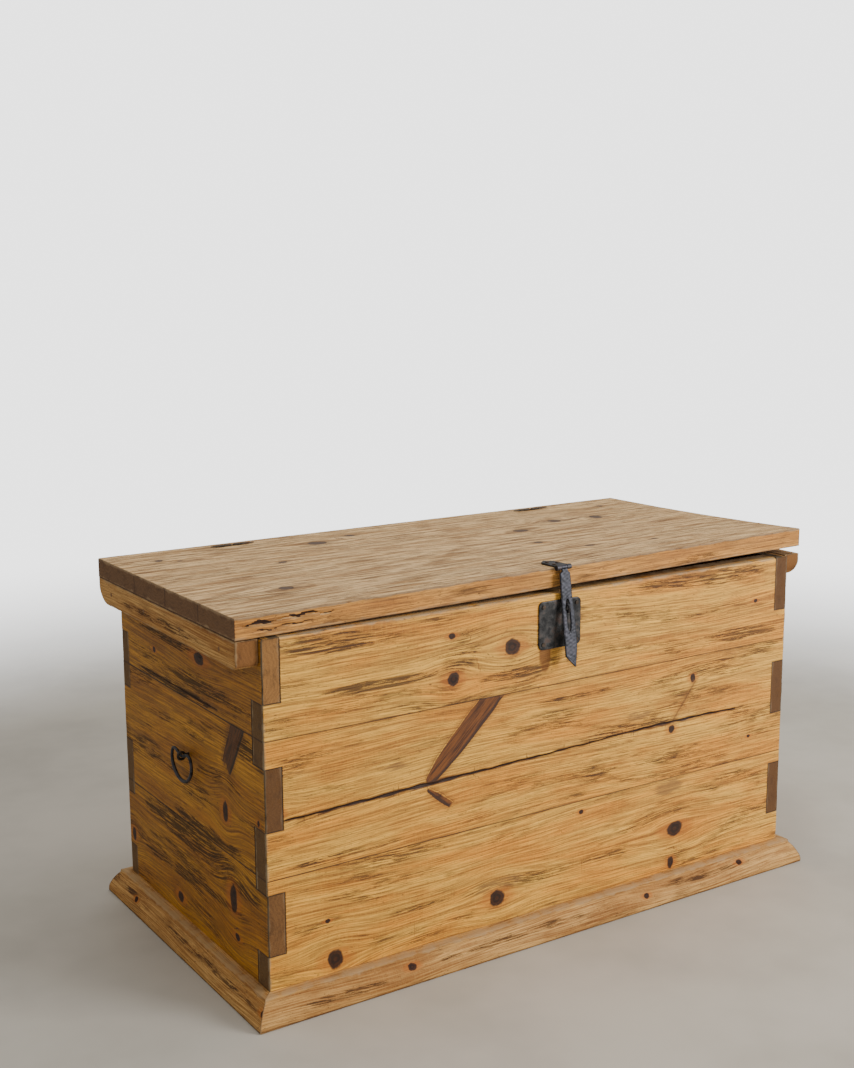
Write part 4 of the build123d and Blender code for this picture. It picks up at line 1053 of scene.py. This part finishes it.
def cleat_round(run):
    """Arris radius of a cleat: full along its foot, less elsewhere."""
    return 2.6 if level(run) and run[1] < CLEAT_FOOT + 1 else 1.2


spread = CLEAT_ROUND * (1 - np.cos(np.linspace(0.05, np.pi / 2, 16)))
for side, sign, front_round, seed in (("left", -1, CLEAT_SMALL_ROUND, 71), ("right", 1, CLEAT_ROUND, 72)):
    board(f"end_cleat_{side}", [(LID_FRONT, LID_BACK, CLEAT_FOOT, Z_TOP)], CLEAT_THICK, place_cleat(sign),
          MOULD_END, "moulding_pine", "chest_body", seed, 4.0, cleat_round, lambda run: True,
          warp=cleat_warp(front_round, CLEAT_ROUND), flip=sign < 0,
          extra_u=np.concatenate([LID_FRONT + spread, LID_BACK - spread]), streaks=[(0, 565, 200, 8, 0.5)])

# ---- base moulding --------------------------------------------------------------------------

LIP, LIP_HEIGHT = 42.0, 43.0
MOULD_KNOTS = [(-300, 62, 8, 6), (190, 58, 6, 5), (420, 66, 7, 5)]
MOULD_STREAKS = [(-100, 60, 200, 7, 0.5), (330, 64, 160, 8, 0.6), (-430, 52, 90, 9, 0.6)]


def moulding_profile():
    """Ring of points (outward, up): plumb foot, slope as a parabola from a to b that passes through m, thin
    worn lip, and back down the wall."""
    a, b, m = np.array([31.7, 13.0]), np.array([16.0, 38.0]), np.array([24.85, 26.5])
    t = np.linspace(0, 1, 13)[:, None]
    slope = (1 - t) ** 2 * a + 2 * t * (1 - t) * (2 * m - (a + b) / 2) + t**2 * b
    foot = np.array([[0, 0], [10, 0], [22, 0], [32.2, 0], [33.1, 0.7], [33.3, 3], [33.0, 7.5], [32.3, 11.0]])
    lip = np.array([[15.75, 40.5], [15.2, 42.4], [13.8, 43.2], [8, 43.9], [1.2, 44.7], [0.0, 44.9], [0, 22]])
    return np.concatenate([foot, slope, lip])


def moulding(side, half_length, place, finish, seed, flip):
    """The profile carried along the wall; each point runs to the mitre, half the wall plus its own distance
    out. Shallow waves and small nicks at the lip, both sums of sine waves, are taken off its face."""
    name = f"base_moulding_{side}"
    ring = moulding_profile()
    n = len(ring)
    t = lines([-1000.0, 1000.0], 7.0)[:, None] / 1000.0
    out, up = ring.T[:, None]
    s = t * (half_length + out)
    outside = out > 2
    dip = (0.25 + 0.25 * ripple(s, up, seed, 140, 40)) * smooth(up, 4, 14) * outside
    nick = 0.9 * smooth(ripple(s, 0.0, seed + 3, 70, 999), 0.35, 1.0) * np.exp(-((up - LIP) / 3.5) ** 2)
    points = place(s.ravel(), (out - np.clip(dip, 0, 1) - nick * outside).ravel(), (up - nick * 0.6).ravel())
    index = np.arange(len(t) * n).reshape(len(t), n)
    nxt = np.roll(index, -1, 1)
    faces = np.stack([index[:-1], nxt[:-1], nxt[1:], index[1:]], -1).reshape(-1, 4)
    faces = faces[:, ::-1].tolist() + [index[0].tolist(), index[-1][::-1].tolist()]
    if flip:
        faces = [face[::-1] for face in faces]
    along = s.ravel()
    around = np.tile(np.concatenate([[0], np.cumsum(np.hypot(*np.diff(ring, axis=0).T))]), len(t))
    out, up = np.tile(ring, (len(t), 1)).T
    to_mitre = half_length + out - np.abs(along)
    none = np.zeros(len(along))
    make_piece(name, points, faces, finish, "chest_body", "moulding_pine", [name], {
        "grain": np.stack([along, around + 5 * ripple(along, around, seed, 500, 200, 3), up * 0.1], -1),
        "board": np.tile([0.0, 0.0, (seed * 0.137) % 1.0], (len(along), 1)),
        "knot_at": nearest_knot(along, around, MOULD_KNOTS),
        "spike_at": nearest_spike(along, around, ()),
        "tone": np.stack([patches(along, around, MOULD_STREAKS), none, none], -1),
        # Painted shade: the lowest 4 mm of the moulding get a small edge distance, so the finish darkens its foot
        # where it meets the floor; the mitres darken as dark joints.
        "edge": np.clip(np.minimum(to_mitre, np.where(up < 4, 0.8, 30.0)), 0, FAR),
        "rim": np.clip(np.minimum((np.abs(up - LIP_HEIGHT) + 3 * (out < 2)) * 0.8, to_mitre + 0.8), 0, FAR),
        "crack": np.full(len(along), FAR),
    })


moulding("front", X_END, lambda s, o, z: np.stack([s, Y_FRONT - o, z], -1), MOULD_LONG, 81, False)
moulding("back", X_END, lambda s, o, z: np.stack([s, Y_BACK + o, z], -1), MOULD_LONG, 82, True)
moulding("left", Y_BACK, lambda s, o, z: np.stack([-X_END - o, s, z], -1), MOULD_END, 83, True)
moulding("right", Y_BACK, lambda s, o, z: np.stack([X_END + o, s, z], -1), MOULD_END, 84, False)

# ---- bails ----------------------------------------------------------------------------------

BAIL_W, BAIL_DROP, BAIL_RISE, BAIL_Y, BAIL_Z, BAIL_X = 38.5, 42.0, 6.5, -2.0, 342.0, 553.0
EYE_R, EYE_TAIL, PRONG = 5.9, 45.6, 25.5
HALF_BAIL = [(7.0, 0.0), (BAIL_W * 0.45, BAIL_RISE), (BAIL_W * 0.92, BAIL_RISE),
             (BAIL_W * 1.05, -BAIL_DROP * 0.45), (BAIL_W * 0.45, -BAIL_DROP)]


def soft_loop(points, count):
    """Closed smooth curve: a parabola from each side's middle to the next one's, tangent to both sides."""
    p = np.array(points, float)
    a, b = (np.roll(p, 1, 0) + p) / 2, (p + np.roll(p, -1, 0)) / 2
    t = np.linspace(0, 1, count, endpoint=False)[None, :, None]
    return ((1 - t) ** 2 * a[:, None] + 2 * t * (1 - t) * p[:, None] + t**2 * b[:, None]).reshape(-1, 2)


def eye_strand():
    """Wire of a bail's cotter pin, as (inwards, up): in from one clenched prong, round the eye as an arc of
    320 degrees, and back to the other prong."""
    tip = np.stack([np.full(12, EYE_TAIL), np.linspace(1.6, PRONG, 12)], -1)
    leg = np.stack([np.linspace(8.0, EYE_TAIL, 14), np.full(14, 1.15)], -1)
    a = np.radians(np.linspace(20, 340, 40))
    eye = EYE_R * np.stack([np.cos(a), np.sin(a)], -1)
    return np.concatenate([tip[::-1], leg[::-1], eye, leg * (1, -1), tip * (1, -1)])


y, z = soft_loop(HALF_BAIL + [(-y, z) for y, z in reversed(HALF_BAIL)], 14).T
bail_radius = 2.55 + 0.4 * smooth(-z, 5, 34) + 0.06 * np.sin(np.arange(len(y)) * 1.7)
inwards, up = eye_strand().T
eye_radius = np.full(len(up), 2.3)
eye_radius[:12] = np.linspace(1.0, 2.2, 12)
eye_radius[-12:] = np.linspace(2.2, 1.0, 12)
for side, sign in (("left", -1), ("right", 1)):
    path = np.stack([np.full(len(y), sign * BAIL_X), BAIL_Y + y, BAIL_Z + z], -1)
    make_piece(f"bail_{side}", *tube(path, bail_radius, (sign, 0, 0), 16, closed=True), BLACK_IRON,
               f"{side}_bail", "forged_iron", [f"handle_{side}"])
    path = np.stack([sign * (BAIL_X - inwards), np.full(len(up), BAIL_Y), BAIL_Z + up], -1)
    make_piece(f"bail_eye_{side}", *tube(path, eye_radius, (0, 1, 0), 12), PIN_IRON, "chest_body",
               "forged_iron", [f"handle_eye_{side}"])

# ---- hinge pins -----------------------------------------------------------------------------

PIN_X, HINGE_Y, PIN_SPAN = 336.0, Y_BACK + 11.0, 42.5
LEG_ANGLE = math.radians(40.0)
LID_EYE_R, BODY_EYE_R, PRONG_R, INSIDE_FACE = 6.2, 5.2, 2.3, Y_BACK - 30.0
SIDEWAYS = np.array([1.0, 0.0, 0.0])


def cotter(eye, eye_radius, eye_axis, run, foot, span):
    """Split pin: a closed eye, then two strands side by side along the leg that part at the foot in quarter
    circles and lie flat, tapering."""
    gap, bend_radius = 1.35, 4.0
    a = np.linspace(0, 2 * np.pi, 40, endpoint=False)[:, None]
    first = run if abs(np.dot(run, eye_axis)) < 0.5 else SIDEWAYS
    second = np.cross(eye_axis, first)
    parts = [tube(eye + eye_radius * (np.cos(a) * first + np.sin(a) * second), 2.1, eye_axis, 12, closed=True)]
    start = eye + eye_radius * run
    length = float(np.dot(foot - start, run))
    t = np.linspace(-2.0, length - bend_radius, 10)[:, None]
    q = np.linspace(0, np.pi / 2, 8)[1:, None]
    x = np.linspace(6.5, span, 18)[:, None]
    lying = np.interp(x[:, 0], [6, 28, span], [2.15, 1.9, 0.8])
    radius = np.concatenate([np.full(len(t), 1.5), np.linspace(1.5, 2.1, len(q)), lying])
    for s in (-1, 1):
        leg = start + t * run + gap * s * SIDEWAYS
        aside = s * (gap + bend_radius * (1 - np.cos(q)))
        bend = start + (length - bend_radius + bend_radius * np.sin(q)) * run + aside * SIDEWAYS
        strand = np.concatenate([leg, bend, foot + s * x * SIDEWAYS])
        parts.append(tube(strand, radius, np.cross(SIDEWAYS, run), 12))
    return merged(*parts)


def on_leg(x, rise):
    """The point of a pin's sloping leg at a height above the hinge's axis, or below it if negative."""
    return np.array([x, HINGE_Y - abs(rise) / math.tan(LEG_ANGLE), Z_TOP + rise])


for side, x in (("left", -PIN_X), ("right", PIN_X)):
    axis = on_leg(x, 0.0)
    run = np.array([0.0, -math.cos(LEG_ANGLE), math.sin(LEG_ANGLE)])
    top = plank_top(x, HINGE_Y - LID_THICK / math.tan(LEG_ANGLE), *LID_SEAMS[-2:])
    foot = on_leg(x, top + PRONG_R - Z_TOP)
    pin = cotter(axis + LID_EYE_R * run, LID_EYE_R, np.cross(SIDEWAYS, run), run, foot, PIN_SPAN)
    make_piece(f"lid_cotter_{side}", *pin, PIN_IRON, "lid", "forged_iron", [f"hinge_pin_lid_{side}"])
    foot = on_leg(x, -(HINGE_Y - INSIDE_FACE + PRONG_R) * math.tan(LEG_ANGLE))
    pin = cotter(axis, BODY_EYE_R, SIDEWAYS, run * (1, 1, -1), foot, PIN_SPAN)
    make_piece(f"body_cotter_{side}", *pin, PIN_IRON, "chest_body", "forged_iron", [f"hinge_pin_body_{side}"])

# ---- hasp -----------------------------------------------------------------------------------

HASP_X = 16.0
HASP_Z = float(lid_lift(HASP_X, LID_FRONT)) + LID_THICK
HASP_Y = LID_FRONT - 5.0
LEAN = math.radians(9.0)
DOWN = np.array([0.0, -math.sin(LEAN), -math.cos(LEAN)])
OUT = np.array([0.0, -math.cos(LEAN), math.sin(LEAN)])
AXIS = np.array([HASP_X, HASP_Y, HASP_Z])
SLOT_TOP, SLOT_END, STRAP_TOP, STRAP_TIP = 52.0, 106.0, 3.0, 165.9
SLOT_MIDDLE, SLOT_HALF = (SLOT_TOP + SLOT_END) / 2, (SLOT_END - SLOT_TOP) / 2
SLOT_COLUMNS = 0.4


def strap_edges(v):
    """Left and right edges of the strap at a distance v below the pin."""
    left = np.interp(v, [0, 7, 10, 52, 147, 166], [-6, -6, -10.5, -11.5, -12.5, 4.9])
    right = np.interp(v, [0, 7, 10, 52, 74, 130, 149, 166], [6, 6, 10.5, 10.5, 12.5, 12.5, 9.5, 6.1])
    return left, right


def strap_warp(u, v):
    """Columns -1 to 1 to millimetres: the middle two fifths keep to the slot, which has round ends, and the
    rest runs out to the edges. Above and below the slot the columns spread evenly."""
    left, right = strap_edges(v)
    far = np.abs(v - SLOT_MIDDLE)
    slot = 4.0 * np.sqrt(np.clip(1 - (np.clip(far - 12.0, 0, 14.8) / 15.0) ** 2, 0.02, 1))
    even = smooth(far, SLOT_HALF, SLOT_HALF + 15.0)
    a = -slot * (1 - even) + (left + 0.3 * (right - left)) * even
    b = slot * (1 - even) + (left + 0.7 * (right - left)) * even
    share = 1 - SLOT_COLUMNS
    outer_left = left + (u + 1) / share * (a - left)
    outer_right = b + (u - SLOT_COLUMNS) / share * (right - b)
    inner = a + (u + SLOT_COLUMNS) / (2 * SLOT_COLUMNS) * (b - a)
    return np.where(u < -SLOT_COLUMNS, outer_left, np.where(u > SLOT_COLUMNS, outer_right, inner)), v


def place_strap(u, v, d):
    """u runs across the strap, v down its lean, and its face bows back as 1 - cos."""
    face = 4.4 - d - 0.25 * (1 - np.cos(v / 30.0))
    return AXIS + np.outer(u, SIDEWAYS) + np.outer(v, DOWN) + np.outer(face, OUT)


def bar_across(half, count):
    """Straight path through the hasp's axis, half its length to each side."""
    x = np.linspace(HASP_X - half, HASP_X + half, count)
    return np.stack([x, np.full(count, HASP_Y), np.full(count, HASP_Z)], -1)


edge_columns = np.array([0.4, 0.44, 0.93, 0.97])
su = np.unique(np.round(np.concatenate([np.linspace(-1, 1, 41), edge_columns, -edge_columns]), 4))
sv = lines([STRAP_TOP, SLOT_TOP, SLOT_END, 147.0, STRAP_TIP], 1.6)
strap_mask = ~filled([(-SLOT_COLUMNS, SLOT_COLUMNS, SLOT_TOP, SLOT_END)], su, sv)
SU, SV = np.meshgrid(su, sv, indexing="ij")
outer_edge = 0.55 * smooth(np.abs(SU), 0.86, 1.0)
slot_edge = 0.45 * smooth(0.48 - np.abs(SU), 0, 0.1) * (np.abs(SV - SLOT_MIDDLE) < 30)
hammer = 0.16 * (1 + ripple(SU * 12, SV, 90, 9, 9, 8))
points, faces, *_ = slab(su, sv, strap_mask, outer_edge + slot_edge + hammer, 2.9, place_strap, (0.3, 0.7),
                         strap_warp, flip=True)
knuckle_radius = np.array([4.0, 4.35, 4.4, 4.35, 4.4, 4.3, 4.4, 4.35, 4.0])
points, faces = merged((points, faces), tube(bar_across(6, 9), knuckle_radius, (0, 0, 1), 24))
make_piece("hasp_strap_forged", points, faces, STRAP_IRON, "hasp", "strap_iron", ["hasp_strap"])

pin_radius = np.full(13, 1.95)
pin_radius[[1, -2]] = 1.9
pin_radius[[0, -1]] = 1.4
make_piece("hasp_pin_forged", *tube(bar_across(14.4, 13), pin_radius, (0, 0, 1), 16), BLACK_IRON, "lid",
           "forged_iron", ["hasp_pin"])

# ---- staple plate ---------------------------------------------------------------------------

PLATE_X, PLATE_Z, PLATE_W, PLATE_H, PLATE_ROUND, PLATE_THICK = 7.0, 540.0, 43.5, 40.5, 9.0, 2.5


def plate_warp(u, v):
    """Shortens the columns near both sides along a quarter circle, which rounds the corners."""
    past = np.clip(np.abs(u) - (PLATE_W - PLATE_ROUND), 0, PLATE_ROUND)
    reach = PLATE_H - (PLATE_ROUND - np.sqrt(PLATE_ROUND**2 - past**2))
    return u, v * reach / PLATE_H


def place_plate(u, v, d):
    """The plate lies flat on the front board, depth running into it."""
    return np.stack([PLATE_X + u, Y_FRONT - PLATE_THICK + d, PLATE_Z + v], -1)


corner_u = PLATE_W - PLATE_ROUND + PLATE_ROUND * np.sin(np.linspace(0, np.pi / 2, 12))
plate_u = lines([-PLATE_W, PLATE_W], 2.0, np.concatenate([corner_u, -corner_u]))
plate_v = lines([-PLATE_H, PLATE_H], 2.0)
PU, PV = np.meshgrid(plate_u, plate_v, indexing="ij")
rim_gap = np.minimum(PLATE_W - np.abs(PU), PLATE_H - np.abs(PV))
plate_face = 0.5 * (1 - smooth(rim_gap, 0, 1.4)) + 0.12 * (1 + ripple(PU, PV, 91, 16, 16, 8))
whole = np.ones((len(plate_u) - 1, len(plate_v) - 1), bool)
points, faces, *_ = slab(plate_u, plate_v, whole, plate_face, PLATE_THICK - 0.02, place_plate, (0.5,),
                         plate_warp)
make_piece("staple_plate_forged", points, faces, PLATE_IRON, "chest_body", "forged_iron", ["staple_plate"])

# ---- parts kept from the CAD ----------------------------------------------------------------

KEPT = {
    DOWEL: ["front_dowels", "back_dowels", "left_dowels", "right_dowels", "lid_dowels"],
    INSIDE_X: [f"floor_board_{n}" for n in range(1, 5)],
    INSIDE_Y: ["floor_bearer_left", "floor_bearer_centre", "floor_bearer_right"],
    NAIL_IRON: ["floor_nails", "plate_nails", "hasp_leaf_nails"],
    WAXED_NAIL: ["base_moulding_nails", "cleat_nails"],
    BLACK_IRON: ["hasp_leaf", "staple"],
}
for finish, names in KEPT.items():
    for name in names:
        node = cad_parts[name]
        node.data.materials.clear()
        node.data.materials.append(finish)

# ---- floor, light and camera ----------------------------------------------------------------

FLOOR_HALF = 4.0
floor_mesh = bpy.data.meshes.new("floor")
corners = [(-1, -1), (1, -1), (1, 1), (-1, 1)]
floor_mesh.from_pydata([(FLOOR_HALF * x, FLOOR_HALF * y, 0) for x, y in corners], [], [(0, 1, 2, 3)])
floor_finish, fg, floor_shader = material("pale_floor")
here = fg.node("ShaderNodeTexCoord").outputs["Object"]
cloud = fg.noise(here, 4, 0.6, scale=2.2)
grey = fg.mix(fg.step(cloud, 0.35, 0.7), rgb(190, 186, 178), rgb(174, 170, 162))
fg.feed(floor_shader.inputs["Base Color"], grey)
fg.feed(floor_shader.inputs["Roughness"], 0.85)
out_from_chest = fg.node("ShaderNodeVectorMath", {0: here}, operation="LENGTH").outputs["Value"]
fg.feed(floor_shader.inputs["Alpha"], fg.step(out_from_chest, 1.3, 3.4, 1.0, 0.0))
floor_mesh.materials.append(floor_finish)
floor = bpy.data.objects.new("floor", floor_mesh)
bpy.context.scene.collection.objects.link(floor)


def area_light(name, place, size, power, colour):
    """A square lamp of this size in metres, aimed at the middle of the chest."""
    lamp = bpy.data.lights.new(name, "AREA")
    lamp.shape = "RECTANGLE"
    lamp.size = lamp.size_y = size
    lamp.energy = power
    lamp.color = colour
    lit = bpy.data.objects.new(name, lamp)
    lit.location = place
    lit.rotation_euler = (LIT_POINT - Vector(place)).to_track_quat("-Z", "Y").to_euler()
    bpy.context.scene.collection.objects.link(lit)


LIT_POINT = Vector((0, 0, 0.3))
area_light("key", (2.5, -3.3, 1.7), 1.8, 180, (1.0, 0.965, 0.91))
area_light("top", (0.4, 0.2, 3.2), 3.0, 42, (1.0, 0.98, 0.95))

ROOM_GLOW, WALL_GLOW = 0.60, 2.2
world = bpy.data.worlds.new("room")
world.use_nodes = True
room = Graph(world.node_tree)
seen_by_camera = room.node("ShaderNodeLightPath").outputs["Is Camera Ray"]
background = world.node_tree.nodes["Background"]
room.feed(background.inputs[0], room.mix(seen_by_camera, (0.90, 0.86, 0.78, 1), WHITE))
room.feed(background.inputs[1], room.add(ROOM_GLOW, room.mul(seen_by_camera, WALL_GLOW)))
bpy.context.scene.world = world

YAW, PITCH, ROLL = 0.5789, math.radians(10.56), -0.0046
camera_data = bpy.data.cameras.new("camera")
camera_data.lens = 48.9
camera_data.sensor_width = 36.0
camera = bpy.data.objects.new("camera", camera_data)
camera.location = (-1.4464, -2.0989, 1.1237)
ahead = Vector((math.sin(YAW) * math.cos(PITCH), math.cos(YAW) * math.cos(PITCH), -math.sin(PITCH)))
turn = ahead.to_track_quat("-Z", "Y").to_matrix()
camera.rotation_euler = (turn @ Matrix.Rotation(ROLL, 3, "Z")).to_euler()
bpy.context.scene.collection.objects.link(camera)
bpy.context.scene.camera = camera
